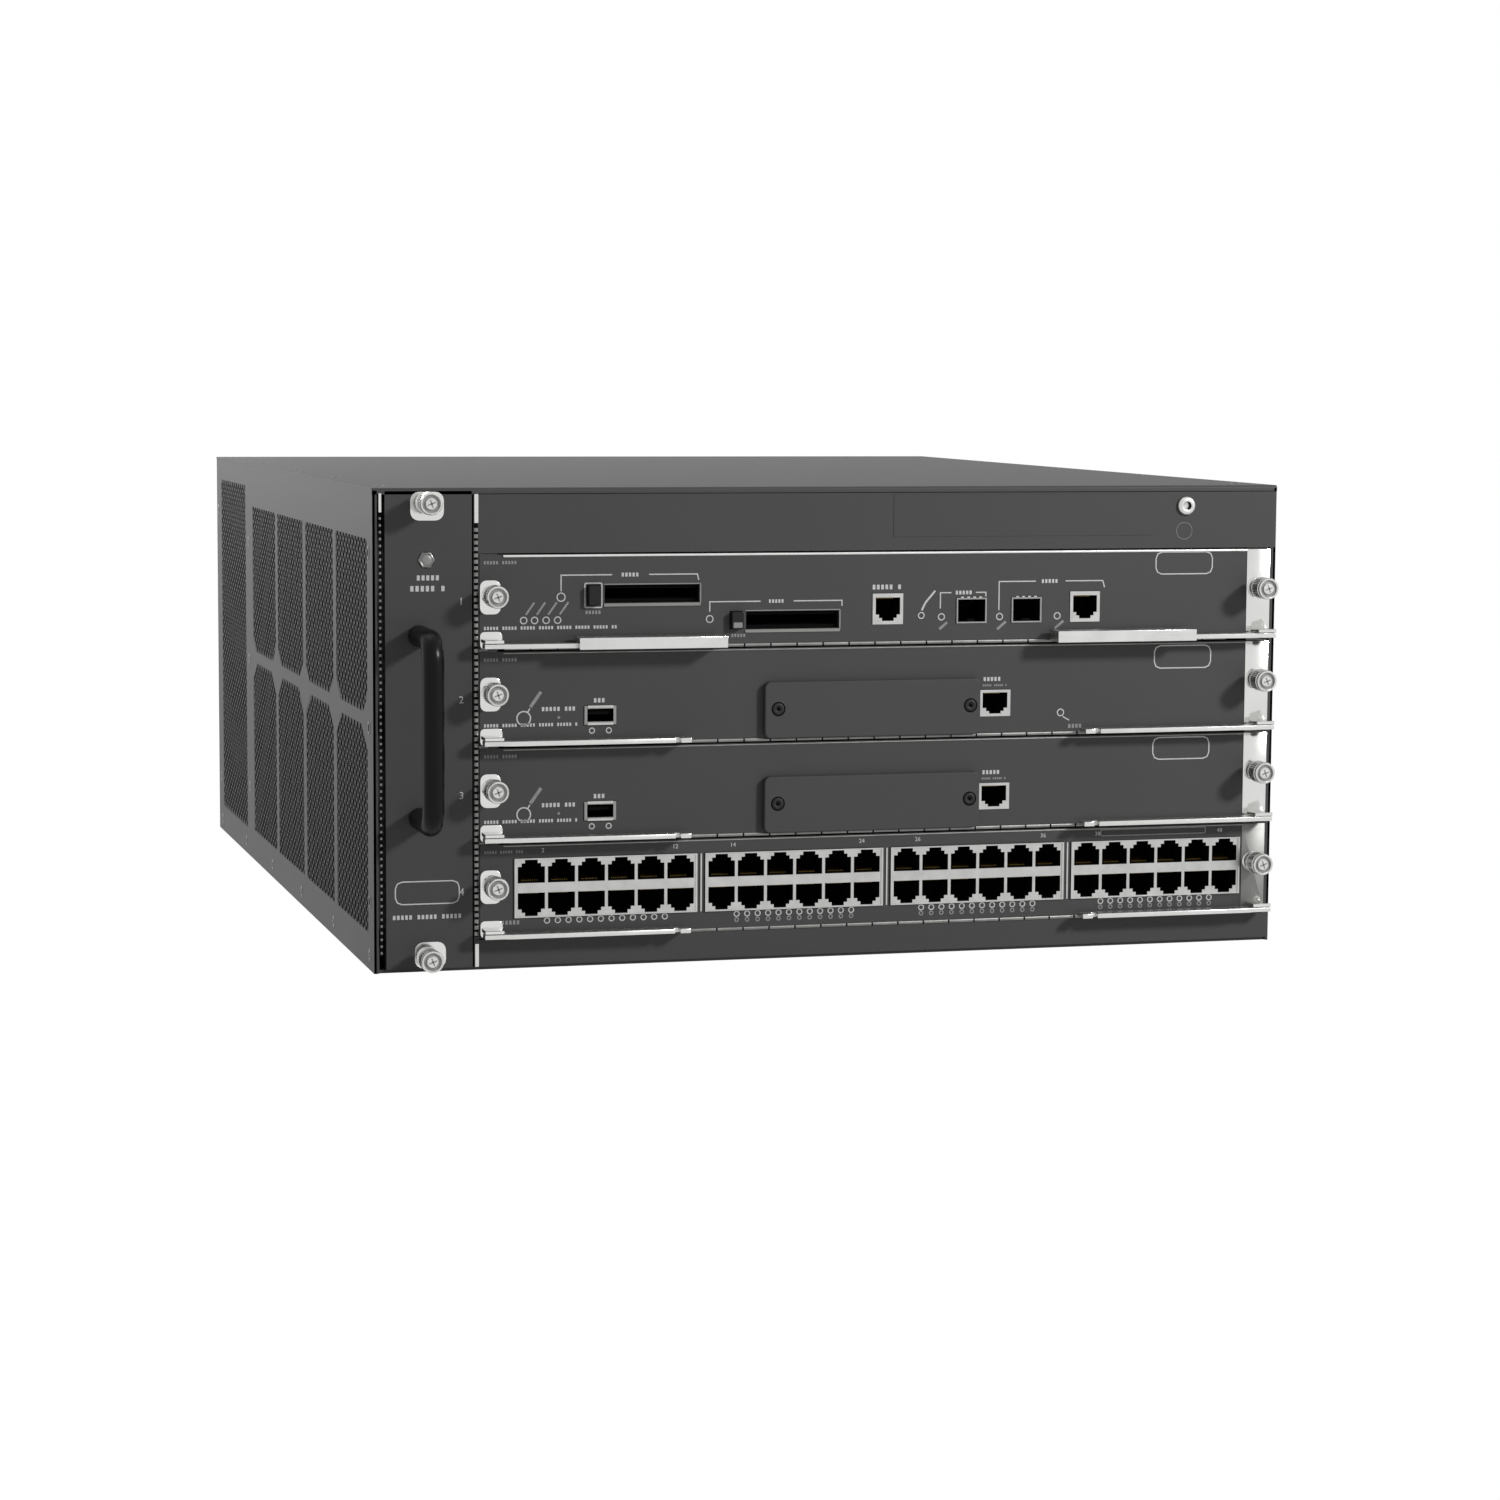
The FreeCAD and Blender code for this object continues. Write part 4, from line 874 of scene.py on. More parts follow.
@dataclass
class Skin:
    """The lid, and the small screws on the lid and both sides."""

    edge_radius: float = 1.3
    lip: float = 3.0
    hem: float = 1.4
    lid_inset: float = 9.0
    lid_rows: int = 5

    def lid(self) -> None:
        """The cover: its section, with a rounded front edge and a lip, carried from side to side."""
        top, radius = TOP - SKIN_DROP, self.edge_radius
        arc = [(FRONT + radius - radius * math.sin(t), top - radius + radius * math.cos(t))
               for t in np.linspace(0, math.pi / 2, 7)]
        under, lip, inset = box("top_cover")[0][2] + self.lip - 1.5, top - self.lip, SKIN_DROP / 2
        section = [(REAR, under), (REAR, top), *arc, (FRONT, lip), (FRONT + self.hem, lip),
                   (FRONT + self.hem, under)]
        piece("rolled_edge_cover", carried(section, LEFT + inset, RIGHT - inset), [COAT], "chassis",
              Slot.PAINT, "top_cover")

    def screws(self) -> None:
        """Small cross-head screws on the sides and the lid, and the rack brackets' inserts."""
        depth = REAR - FRONT
        ribs = [(8, 191, 0), (12, 32, 0), (137.5, 178, 0), (137.5, 40, 0), (137.5, 112, 0)]
        places = np.concatenate([spread(15 + 105 * np.arange(6), [7.0]), ribs])
        insert = disc((3.0, 0), (3.0, 0.25), (2.2, 0.3), (2.1, 0.3), (2.05, 0.05), sides=20)
        # The insert's bore is a near-black disc: painted shade.
        dark = disc((2.04, 0.04), (2.04, 0.1), sides=16).painted(1)
        shells = [side.face().lay(repeated(cross_screw(3.0, SKIN_DROP), places),
                                  repeated(joined([insert, dark]), spread([depth - 11], [32, 112, 192])))
                  for side in Side]
        lid = Face((LEFT, FRONT, TOP - SKIN_DROP), (1, 0, 0), (0, 1, 0), (0, 0, 1))
        rows = spread([self.lid_inset, RIGHT - LEFT - self.lid_inset],
                      np.linspace(30, depth - 14, self.lid_rows))
        shells.append(lid.lay(repeated(cross_screw(2.4, SKIN_DROP), rows)))
        piece("chassis_screw_heads", joined(shells), [DULL_NICKEL, CAVITY], "chassis", Slot.TURNED,
              "chassis_screws")


# ---------------------------------------------------------------- contact fingers and captive screws

class Run(Enum):
    """Which way a strip of contact fingers runs on its face."""

    ACROSS = 0
    UP = 1


@dataclass
class FingerStrip:
    """A strip of sprung contact fingers: arched tongues on a dark backing, each with a gap beside it."""

    start: tuple[float, float]
    length: float
    width: float
    run: Run
    pitch: float
    gap: float
    arch: float = 0.5
    lift: float = 0.05

    def shell(self) -> Shell:
        """The tongues: the height is the arch times the sine along each tongue's width."""
        turn = np.linspace(0, math.pi, 7)
        section = np.stack([self.width * (0.5 - 0.5 * np.cos(turn)), self.arch * np.sin(turn)], -1)
        lower = section[::-1] * [1, 0] + [0, -0.02]
        tongue = carried(np.concatenate([section, lower[1:-1]]), 0.0, self.pitch - self.gap)
        places = np.arange(int(self.length / self.pitch)) * self.pitch + self.gap / 2
        # The backing is finish 1, near black: painted shade behind and between the tongues.
        shell = joined([repeated(tongue.moved(out=self.lift), spread(places)),
                        slab(0, 0, self.length, self.width, 0.2, (0, 0.01), (0, self.lift)).painted(1)])
        if self.run is Run.UP:
            shell = Shell(shell.points[:, [1, 0, 2]], shell.faces, shell.paints)
        return shell.moved(*self.start)


@dataclass(frozen=True)
class CaptiveScrew:
    """A knurled thumbscrew held in its plate by a sprung neck and a ferrule."""

    node: str
    carrier: str
    sides: int = 64
    knurl: float = 0.26
    head_start: float = 5.6
    neck: float = 2.6
    coil_radius: float = 3.5
    coil_turns: int = 3

    def build(self) -> None:
        """Make the screw, and the ferrule on the plate that carries it."""
        low, high = box(self.node)
        radius, length = (high[0] - low[0]) / 2, FRONT - low[1]
        face = Face(((low[0] + high[0]) / 2, FRONT, (low[2] + high[2]) / 2))
        start = self.head_start
        shank = [(1.5, -11), (1.5, 0.3), (self.neck, 0.3), (self.neck, start)]
        head = [(0.9, start), (0.25, start + 0.6), (0, start + 0.9), (0, start + 1.0), (0, length - 2.6),
                (0, length - 2.5), (0.45, length - 2.2), (0.45, length - 1.5), (0.05, length - 1.3),
                (0.25, length - 0.35), (0.6, length - 0.05), (1.0, length - 0.05), (1.25, length - 0.35),
                (1.3, length - 1.2)]
        middle = [(2.75, length - 1.2), (2.7, length - 0.35), (2.4, length - 0.05), (0.6, length),
                  (0.05, length)]
        knob = turned([*shank, *[(radius - inset, out) for inset, out in head], *middle], self.sides,
                      self.knurl, (start + 0.95, length - 2.45))
        edge = radius - 1.35
        # The ring groove on the face and the cross recess are finish 1, greyed as painted shade.
        well = turned([(edge, length - 1.15), (edge, length - 1.1), (2.8, length - 1.1)], 36)
        turn = np.linspace(0, 2 * math.pi * self.coil_turns, 16 * self.coil_turns)
        coil = np.stack([self.coil_radius * np.cos(turn), self.coil_radius * np.sin(turn),
                         np.linspace(1.6, start - 0.5, len(turn))], -1)
        shell = face.lay(knob, well.painted(1), *crossed(1.9, 0.7, length - 0.02, length + 0.03, 0.94, 0.34),
                         wire(coil, 0.45, 6, (0, 0, 1)))
        piece(self.node + "_knob", shell, [TURNED, SHADED], self.node, Slot.TURNED, self.node)
        ferrule = disc((4.7, 0.02), (4.7, 0.7), (4.2, 1.2), (3.0, 1.2), (2.9, 0.1), (1.9, 0.05), sides=32)
        piece(self.node + "_ferrule", face.lay(ferrule), [TURNED], self.carrier, Slot.TURNED)


# ---------------------------------------------------------------- jacks and ports

class Notch(Enum):
    """Which way the latch notch of a jack points."""

    DOWN = 0
    UP = 1


def inside(across: list[float], up: list[float], holes: list[Box], depth: float,
           margin: float = 0.1) -> list[Shell]:
    """The dark walls and bottom of a socket, near black as painted shade.

    Args:
        across, up: the lines that its walls lie on, as for a fretted sheet.
        holes: its openings on those lines.
        depth: how far back its bottom lies.
        margin: how far the bottom stays inside the outermost lines.

    Returns:
        Two closed surfaces.
    """
    left, low, right, high = min(across) + margin, min(up) + margin, max(across) - margin, max(up) - margin
    return [fretted(across, up, holes, -depth, -0.02).painted(1),
            slab(left, low, right, high, 0.1, (0, -depth - 0.6), (0, -depth - 0.02)).painted(1)]


@dataclass(frozen=True)
class Jack:
    """A shielded modular jack: bright face, stepped opening, dark inside and eight gold contacts."""

    width: float
    height: float
    opening: float = 12.8
    roof: float = 11.5
    main_height: float = 7.6
    steps: tuple[tuple[float, float], ...] = ((9.2, 1.6), (6.0, 1.6))
    depth: float = 14.5
    face_thick: float = 0.35
    wires: int = 8
    wire_pitch: float = 1.02

    def shell(self, notch: Notch = Notch.DOWN) -> Shell:
        """The jack with its lower left corner at the origin; finishes 0 to 2 are shield, inside, contacts."""
        middle, top, roof = self.width / 2, self.roof, self.roof - 0.5
        across, up, boxes = [0.0, self.width], [0.0, top, self.height], []
        for wide, high in ((self.opening, self.main_height), *self.steps):
            boxes.append((middle - wide / 2, top - high, middle + wide / 2, top))
            across += [middle - wide / 2, middle + wide / 2]
            top -= high
            up.append(top)
        contact = carried([(roof, -4.0), (roof - 0.35, -4.0), (roof - 3.4, -11.0), (roof - 3.05, -11.0)],
                          -0.2, 0.2)
        places = middle + self.wire_pitch * (np.arange(self.wires) - (self.wires - 1) / 2)
        shell = joined([*inside(across, up, boxes, self.depth, 0.05),
                        fretted(across, up, boxes, 0.0, self.face_thick),
                        repeated(contact, spread(places)).painted(2)])
        if notch is Notch.UP:
            shell = Shell(shell.points * [1, -1, 1] + [0, self.height, 0], shell.faces, shell.paints)
        return shell


@dataclass(frozen=True)
class Port:
    """A small socket with a folded rim, on a face."""

    left: float
    low: float
    wide: float
    high: float

    def rimmed(self, rim: float, thick: float, depth: float) -> list[Shell]:
        """The rim, of a width and a thickness, greyed as painted shade, and the dark inside of a depth."""
        across = [self.left, self.left + rim, self.left + self.wide - rim, self.left + self.wide]
        up = [self.low, self.low + rim, self.low + self.high - rim, self.low + self.high]
        hole = [(across[1], up[1], across[2], up[2])]
        return [fretted(across, up, hole, 0.0, thick).painted(3), *inside(across, up, hole, depth)]

    def cage(self) -> Shell:
        """An optic cage: a rim with contact lips, and a latch rib inside."""
        rim, top, middle = 0.7, self.low + self.high, self.left + self.wide / 2
        lips = [slab(start, top - 0.3, start + 1.6, top + 0.7, 0.2, (0, 0.05), (0.1, 0.4))
                for start in self.left + self.wide * (0.14 + 0.2 * np.arange(4))]
        rib = slab(middle - 2, self.low + rim, middle + 2, self.low + rim + 1.2, 0.3, (0, -3), (0, -0.3))
        return joined([*self.rimmed(rim, 0.5, 18.0), *lips, rib.painted(1)])

    def usb(self) -> Shell:
        """A USB socket: bright bars over its rim, a tongue and four contacts."""
        rim, right, middle = 1.3, self.left + self.wide, self.low + self.high / 2
        tongue = slab(self.left + 2.2, middle + 0.2, right - 2.2, middle + 2.0, 0.2, (0, -12), (0, -1.5))
        contact = slab(-0.4, middle - 0.1, 0.4, middle + 0.2, 0.05, (0, -9), (0, -5)).painted(2)
        bars = [slab(self.left + rim, base, right - rim, base + rim, 0.3, (0, 0.02), (0.1, 0.85))
                for base in (self.low - 0.3, self.low + self.high - rim + 0.3)]
        places = spread(self.left + self.wide / 2 + 2.3 * (np.arange(4) - 1.5))
        return joined([*self.rimmed(rim, 0.55, 12.0), tongue.painted(1), repeated(contact, places), *bars])


# ---------------------------------------------------------------- modules

@dataclass
class Module:
    """What every module has: bright ends, gasket strips, levers, thumbscrews and a label outline."""

    name: str
    label_low: float = 30.6
    label_high: float = 41.4
    bare_finish: Finish = BARE
    bead_finish: Finish = FINGER
    bead: float = 0.35
    bare_left: float = 11.0
    bare_right: float = 12.0
    finger_width: float = 1.5
    finger_pitch: float = 12.7
    lever_inset: float = 5.0
    ear_low: float = 3.2
    ear_high: float = 4.9
    ear_half: float = 4.5
    ear_reach: float = 10.4
    port_low: float = 9.05
    print: Print = field(default_factory=Print)

    def __post_init__(self) -> None:
        """Find the faceplate's face and its width and height."""
        low, high = box(self.name + "_faceplate")
        self.face = front_face(self.name + "_faceplate")
        self.width, self.height = high[0] - low[0], high[2] - low[2]

    def ends(self) -> None:
        """The unpainted right end, the bare pads behind the left screw and lever, and the levers' ears."""
        right = slab(self.width - self.bare_right, 0.3, self.width, self.height - 0.3, 0.3,
                     (0, 0.01), (0, 0.2), (0.15, 0.3))
        half, reach = self.ear_half, self.ear_reach
        plates = [slab(0.2, 16.0, 9.8, 31.5, 3.0, (0, 0.01), (0, 0.15), (0.1, 0.2)),
                  slab(0.2, 0.2, 10.5, 8.0, 2.0, (0, 0.01), (0, 0.15), (0.1, 0.2))]
        plates += [slab(middle - half, self.ear_low, middle + half, self.ear_high, 0.4,
                        (0, 0.01), (0, reach - 0.3), (0.25, reach))
                   for middle in (self.lever_inset, self.width - self.lever_inset)]
        piece(self.name + "_bare_metal", self.face.lay(right, *[plate.painted(1) for plate in plates]),
              [self.bare_finish, BARE], self.name, Slot.PLATED)

    def gasket(self) -> None:
        """The bright rolled edge along the top, and the row of contact fingers along the foot."""
        start, end = self.bare_left, self.width - self.bare_right
        ring = circle(10) * [self.bead, 0.8 * self.bead] + [self.height - 0.7, 0.15]
        fingers = FingerStrip((start, -0.45), end - start, self.finger_width, Run.ACROSS,
                              self.finger_pitch, 0.8, arch=0.35)
        piece(self.name + "_gasket", self.face.lay(carried(ring, start, end).painted(2), fingers.shell()),
              [FINGER, CAVITY, self.bead_finish], self.name, Slot.PLATED)

    def common_marks(self) -> None:
        """The label outline at the right, and the caption row at the top left."""
        self.print.frame(329.5, self.label_low, 358.5, self.label_high, 3.0)
        self.print.dashes((2, 17, 39.6, 1.5))

    def details(self) -> None:
        """What only this kind of module has."""

    def build(self) -> None:
        """Make everything on the module."""
        self.ends()
        self.gasket()
        for hand in ("left", "right"):
            lever = "%s_lever_%s" % (self.name, hand)
            eased(lever, lever + "_plated", NICKEL, 0.45)
        for hand in ("left", "right"):
            CaptiveScrew("%s_screw_%s" % (self.name, hand), self.name).build()
        self.common_marks()
        self.details()
        self.print.finish(self.name + "_print", self.face, self.name)
        dress(FACE_COAT, self.name + "_faceplate")
        dress(BOARD, self.name + "_board")


@dataclass
class Supervisor(Module):
    """The control module, with two disk sockets, two optic cages and two network ports."""

    lights: tuple[float, ...] = (20.5, 25.6, 31.0, 36.4)
    light_rise: float = 13.0
    sockets: tuple[Box, ...] = ((58.5, 20.6, 103.5, 28.8), (126.0, 7.7, 171.0, 15.9))
    jacks: tuple[float, ...] = (187.5, 286.0)
    cages: tuple[float, ...] = (229.0, 256.5)
    port_size: tuple[float, float] = (15.0, 14.5)
    cage_height: float = 12.0

    def disks(self) -> None:
        """Light lips round the disk sockets' mouths, and near-black slabs inside as painted shade."""
        parts = []
        for left, low, right, high in self.sockets:
            parts += [pad(left - 0.5, low - 1.7, right + 0.6, low - 0.1, 0.4, 0.5),
                      pad(left - 0.5, high + 0.1, right + 0.6, high + 0.8, 0.3, 0.35),
                      pad(right + 0.1, low - 0.5, right + 0.9, high + 0.5, 0.3, 0.35)]
            for foot, head, back, front in ((low + 0.1, low + 1.6, -30, -2),
                                            (high - 1.6, high - 0.1, -30, -2),
                                            (low + 0.1, high - 0.1, -32, -30.1)):
                parts.append(slab(left + 0.1, foot, right - 0.1, head, 0.3, (0, back), (0, front)).painted(1))
        piece("disk_socket_lips", self.face.lay(*parts), [DULL_NICKEL, CAVITY], self.name, Slot.PLATED)

    def ports(self) -> None:
        """The shielded ports, which stand for the plain shells."""
        wide, high = self.port_size
        jack = Jack(wide, high, 12.0, 12.6, 8.0, ((8.8, 1.6), (5.8, 1.4))).shell()
        parts = [jack.moved(left, self.port_low) for left in self.jacks]
        parts += [Port(left, self.port_low, wide, self.cage_height).cage() for left in self.cages]
        piece("supervisor_ports", self.face.lay(*parts), [SHIELD, CAVITY, GOLD, SHADED], self.name,
              Slot.PLATED, "port_shells")

    def marks(self) -> None:
        """The printed rings, brackets and rows."""
        ink, rise = self.print, self.light_rise
        ink.rings(*[(place, rise, 1.5) for place in self.lights], (38.0, 23.5, 1.9), (108.5, 12.6, 1.6),
                  (211.6, 13.0, 1.4), (221.6, 12.2, 1.5), (250.6, 12.0, 1.5), (279.6, 12.0, 1.5))
        ink.lines(*[((place + 1.0, rise + 2.6), (place + 5.0, rise + 8.2)) for place in self.lights],
                  width=0.9, faint=True)
        for start, corner, end in (
                ((38.0, 26.2), (38.0, 33.6), (62.0, 33.6)), ((79.5, 33.6), (102.5, 33.6), (103.2, 30.8)),
                ((108.5, 16.0), (108.5, 20.6), (133.0, 20.6)), ((149.0, 20.6), (172.5, 20.6), (172.5, 18.0)),
                ((221.0, 16.2), (221.0, 23.6), (226.4, 23.6)), ((238.6, 23.6), (243.6, 23.6), (243.6, 21.6)),
                ((250.2, 15.0), (250.2, 28.6), (268.6, 28.6)), ((283.6, 28.6), (302.4, 28.6), (303.4, 25.4))):
            ink.lines((start, corner, end))
        ink.lines(((211.8, 15.4), (213.6, 19.0), (218.4, 24.6)), width=0.9)
        ink.lines(((220.6, 6.4), (224.4, 9.6)), ((249.4, 6.0), (253.8, 9.6)), ((278.4, 6.0), (282.8, 9.6)),
                  width=1.2, faint=True)
        ink.frame(49.2, 18.6, 57.2, 29.8, 0.6)
        ink.dashes((66.5, 75.5, 33.6, 1.8), (2.0, 64.0, 9.6, 1.5), (137.0, 145.0, 20.6, 1.6),
                   (187.5, 201.5, 26.6, 2.2), (228.6, 235.8, 23.6, 1.8), (271.6, 280.0, 28.6, 1.8),
                   faint=False)
        ink.dashes((49.5, 57.0, 16.4, 1.6), (119.0, 127.0, 4.8, 1.5))

    def details(self) -> None:
        """Ports, sockets, eject keys and print."""
        self.disks()
        self.ports()
        self.marks()
        for node in ("eject_button_0", "eject_button_1"):
            eased(node, node + "_moulded", NYLON, 0.25)
        low, high = box("eject_button_1")
        tip = slab(0.6, 0.6, high[0] - low[0] - 0.6, 3.2, 0.4, (0, 0.0), (0.1, 0.15))
        piece("eject_button_1_tip", Face(low).lay(tip), [LENS], "eject_button_1", Slot.LIGHT)
        # The disk sockets' solids in near black: painted shade.
        dress(CAVITY, "disk_sockets")


@dataclass
class ServiceModule(Module):
    """A service module, with a USB port, a network port and a raised cover."""

    second_light: bool = False
    usb_left: float = 49.0
    usb_size: tuple[float, float] = (15.0, 8.6)
    link_left: float = 241.0
    link_size: tuple[float, float] = (15.5, 12.6)
    cover_screws: tuple[float, float] = (6.5, 101.0)
    cover_middle: float = 13.8

    def cover(self) -> None:
        """The cover plate, with two dark recessed screws."""
        low, _ = box(self.name + "_cover")
        # The ring round each cap and the hex socket are near black: painted shade of the recess.
        ring = disc((3.4, 0.01), (3.4, 0.06), sides=28).painted(1)
        cap = disc((2.7, 0.05), (2.7, 0.12), (2.3, 0.25), (1.5, 0.3), (1.2, 0.12))
        socket = disc((1.15, 0.1), (1.15, 0.14), sides=6).painted(1)
        shell = repeated(joined([ring, cap, socket]), spread(self.cover_screws, [self.cover_middle]))
        piece(self.name + "_cover_screws", Face(low).lay(shell), [FAN_PLASTIC, CAVITY], self.name,
              Slot.MOULDED)
        eased(self.name + "_cover", self.name + "_cover_plate", FACE_COAT, 0.5)

    def details(self) -> None:
        """Ports, cover and print."""
        self.cover()
        jack = Jack(*self.link_size, 12.4, 11.3, 7.3, ((8.8, 1.5), (5.8, 1.2))).shell()
        piece(self.name + "_ports", self.face.lay(jack.moved(self.link_left, self.port_low),
                                                  Port(self.usb_left, self.port_low, *self.usb_size).usb()),
              [SHIELD, CAVITY, GOLD, SHADED], self.name, Slot.PLATED)
        ink = self.print
        ink.rings((20.5, 12.5, 3.2), width=0.6)
        ink.rings((37.0, 12.6, 0.4), faint=True, steps=8)
        ink.rings((52.6, 6.2, 1.2), (60.6, 6.2, 1.2))
        ink.lines(((22.4, 15.4), (23.4, 17.0)), width=0.6)
        ink.lines(((23.6, 17.6), (28.6, 24.6)), width=1.5, faint=True)
        ink.dashes((29.0, 44.5, 16.6, 1.9), (53.5, 59.0, 20.2, 2.0), (2.0, 46.0, 9.4, 1.5),
                   (243.0, 253.5, 26.8, 1.9), faint=False)
        ink.dashes((242.6, 254.0, 23.8, 1.0))
        if self.second_light:
            ink.rings((282.0, 10.2, 1.6))
            ink.lines(((283.2, 8.2), (286.4, 6.4)))
            ink.dashes((286.0, 292.0, 3.6, 1.9))


@dataclass
class AccessModule(Module):
    """The access module: four banks of twelve jacks, with a row of lights under each."""

    banks: int = 4
    columns: int = 6
    bank_width: float = 87.0
    tile: float = 14.2
    lights: int = 12
    light_pitch: float = 5.1

    def details(self) -> None:
        """The banks, their bright frames, light rings and numbers."""
        low, high = box("jack_banks")
        width, height = self.bank_width, high[2] - low[2]
        pitch = (high[0] - low[0] - width) / (self.banks - 1)
        left, foot = low[0] - self.face.origin[0], low[2] - self.face.origin[2]
        margin = (width - self.columns * self.tile) / 2
        starts = left + pitch * np.arange(self.banks)
        places = (starts[:, None] + margin + self.tile * np.arange(self.columns)).ravel()
        jack = Jack(self.tile, height / 2)
        bank = fretted([0.0, margin, width - margin, width], [0.0, 0.5, height - 0.5, height],
                       [(margin, 0.5, width - margin, height - 0.5)], -2.0, 0.8)
        gap = width + (pitch - width) / 2
        seam = pad(gap - 0.5, foot, gap + 0.5, foot + height, 0.3, 0.4, 0.15)
        shell = self.face.lay(repeated(jack.shell(), spread(places, [foot])),
                              repeated(jack.shell(Notch.UP), spread(places, [foot + height / 2])),
                              repeated(bank, spread(starts, [foot])), repeated(seam, spread(starts[:-1])))
        piece("jack_bank_shields", shell, [SHIELD, CAVITY, GOLD, SHADED], self.name, Slot.PLATED,
              "jack_banks")
        ink = self.print
        for number, start in enumerate(starts):
            first = start + (width - self.light_pitch * (self.lights - 1)) / 2
            lights = first + self.light_pitch * np.arange(self.lights)
            ink.rings(*[(place, 7.4, 1.25) for place in lights], steps=12)
            if number:
                ink.rings(*[(place, 4.6, 0.9) for place in lights], steps=10, faint=True)
            before = 2 * self.columns * number
            ink.numeral(before + 2, start + 13.5, 39.2, 2.0)
            ink.numeral(before + 2 * self.columns, start + width - 10.5, 39.2, 2.0)
        ink.dashes((10.0, 18.5, 7.0, 1.9))

    def common_marks(self) -> None:
        """The outline over the last bank, and the caption row."""
        self.print.frame(303.5, 39.0, 357.5, 42.0, 0.8, faint=True)
        self.print.dashes((2, 20, 39.8, 1.3))


# ---------------------------------------------------------------- header and fan tray

@dataclass
class Header:
    """The header above the slots: a blank nameplate, the grounding jack and its printed circle."""

    plate: Box = (247.0, 198.0, 378.0, 218.0)
    bars: tuple[Box, ...] = ((3.0, 210.5, 4.6, 219.5), (46.9, 205.5, 49.1, 219.0), (46.9, 1.5, 49.0, 12.5))
    bar_tops: tuple[float, ...] = (0.5, 0.6, 0.6)

    def build(self) -> None:
        """Make the nameplate, the jack and the strips beside the slots."""
        face = Face((LEFT, FRONT, 0))
        plate = slab(*self.plate, 1.0, (0, 0.01), (0, 0.12), (0.1, 0.2))
        piece("blank_nameplate", face.lay(plate), [OVERLAY], "chassis", Slot.PAINT)
        low, high = box("esd_jack")
        across, up = (low[0] + high[0]) / 2 - LEFT, (low[2] + high[2]) / 2
        jack = disc((4.5, -0.05), (4.5, 0.9), (4.1, 1.5), (3.3, 2.0), (2.3, 2.0), (2.0, 1.85), (2.0, -18),
                    sides=40)
        # A near-black lining in the bore: painted shade.
        lining = disc((1.99, -17.9), (1.99, 1.8), (1.85, 1.8), (1.85, -17.8)).painted(1)
        shell = joined([jack, lining]).moved(across, up)
        piece("grounding_jack", face.lay(shell), [TURNED, CAVITY], "chassis", Slot.BRASS, "esd_jack")
        ink = Print()
        ink.rings((across - 0.8, up - 12.0, 4.0), faint=True, width=0.22, steps=28)
        ink.finish("header_print", face, "chassis")
        strips = [FingerStrip((3.2, 8.0), 202.0, 1.2, Run.UP, 3.1, 2.0),
                  FingerStrip((46.8, 15.5), 190.0, 2.0, Run.UP, 2.9, 1.2)]
        bars = [pad(*bar, 0.5, top, 0.2).painted(2) for bar, top in zip(self.bars, self.bar_tops)]
        piece("chassis_finger_strips", face.lay(*[strip.shell() for strip in strips], *bars),
              [FINGER, CAVITY, NICKEL], "chassis", Slot.PLATED)


@dataclass
class FanTray:
    """The fan tray: handle, light, print, bare pads and thumbscrews, and its fans."""

    grip_radius: float = 5.0
    grip_bend: float = 9.0
    arc_steps: int = 12
    numbers_across: float = 41.0
    pads: tuple[Box, ...] = ((17.6, 206.8, 33.2, 220.0), (19.0, 1.7, 33.6, 14.0))

    def handle(self) -> None:
        """The gloss bar: out from the tray, round a bend, along, and back."""
        low, high = box("fan_tray_handle")
        middle, bend = (low[0] + high[0]) / 2, self.grip_bend
        foot, head, reach = low[2] + self.grip_radius, high[2] - self.grip_radius, low[1] + self.grip_radius
        turn, half = np.linspace(0, math.pi / 2, self.arc_steps), (FRONT + reach + bend) / 2
        lower = [(reach + bend * (1 - math.sin(t)), foot + bend * (1 - math.cos(t))) for t in turn]
        upper = [(reach + bend * (1 - math.cos(t)), head - bend * (1 - math.sin(t))) for t in turn]
        straight = [(reach, z) for z in np.linspace(foot + bend, head - bend, 9)[1:-1]]
        path = [(FRONT, foot), (half, foot), *lower, *straight, *upper, (half, head), (FRONT, head)]
        rod = wire(np.array([(middle, y, z) for y, z in path]), self.grip_radius, 32, (1, 0, 0))
        piece("enamelled_handle", rod, [ENAMEL], "fan_tray", Slot.ENAMEL, "fan_tray_handle")

    def front(self) -> None:
        """The light, bare pads and print on the tray's front plate."""
        face = Face((LEFT, FRONT, 0))
        low, high = box("fan_status_lens")
        lens = joined([disc((3.9, 0.01), (3.9, 0.5), (3.4, 0.8), (2.6, 0.3), sides=6),
                       disc((2.4, 0.2), (2.4, 0.45), (1.8, 0.75), (1.0, 0.8)).painted(1)])
        piece("tray_light", face.lay(lens.moved((low[0] + high[0]) / 2 - LEFT, (low[2] + high[2]) / 2)),
              [FINGER, LENS], "fan_tray", Slot.LIGHT, "fan_status_lens")
        pads = [pad(*place, 4.0, 0.25) for place in self.pads]
        piece("tray_bare_pads", face.lay(*pads), [BARE], "fan_tray", Slot.PLATED)
        ink = Print()
        ink.frame(10.2, 31.6, 39.8, 42.0, 3.0)
        ink.dashes((20.6, 29.6, 180.9, 2.3), (17.6, 32.6, 176.0, 2.5), (9.0, 41.0, 25.6, 2.0), faint=False)
        for number, rise in enumerate((168.5, 123.5, 79.5, 35.0), start=1):
            ink.numeral(number, self.numbers_across, rise, 3.3)
        ink.finish("fan_tray_print", face, "fan_tray")

    def build(self) -> None:
        """Make the tray's pieces and dress its solids."""
        self.handle()
        self.front()
        for end in ("top", "bottom"):
            CaptiveScrew("fan_tray_screw_" + end, "fan_tray").build()
        dress(COAT, "fan_tray_frame")
        dress(FAN_PLASTIC, "fan_housings", *["fan_rotor_%d" % number for number in range(1, 9)])


# ---------------------------------------------------------------- rear

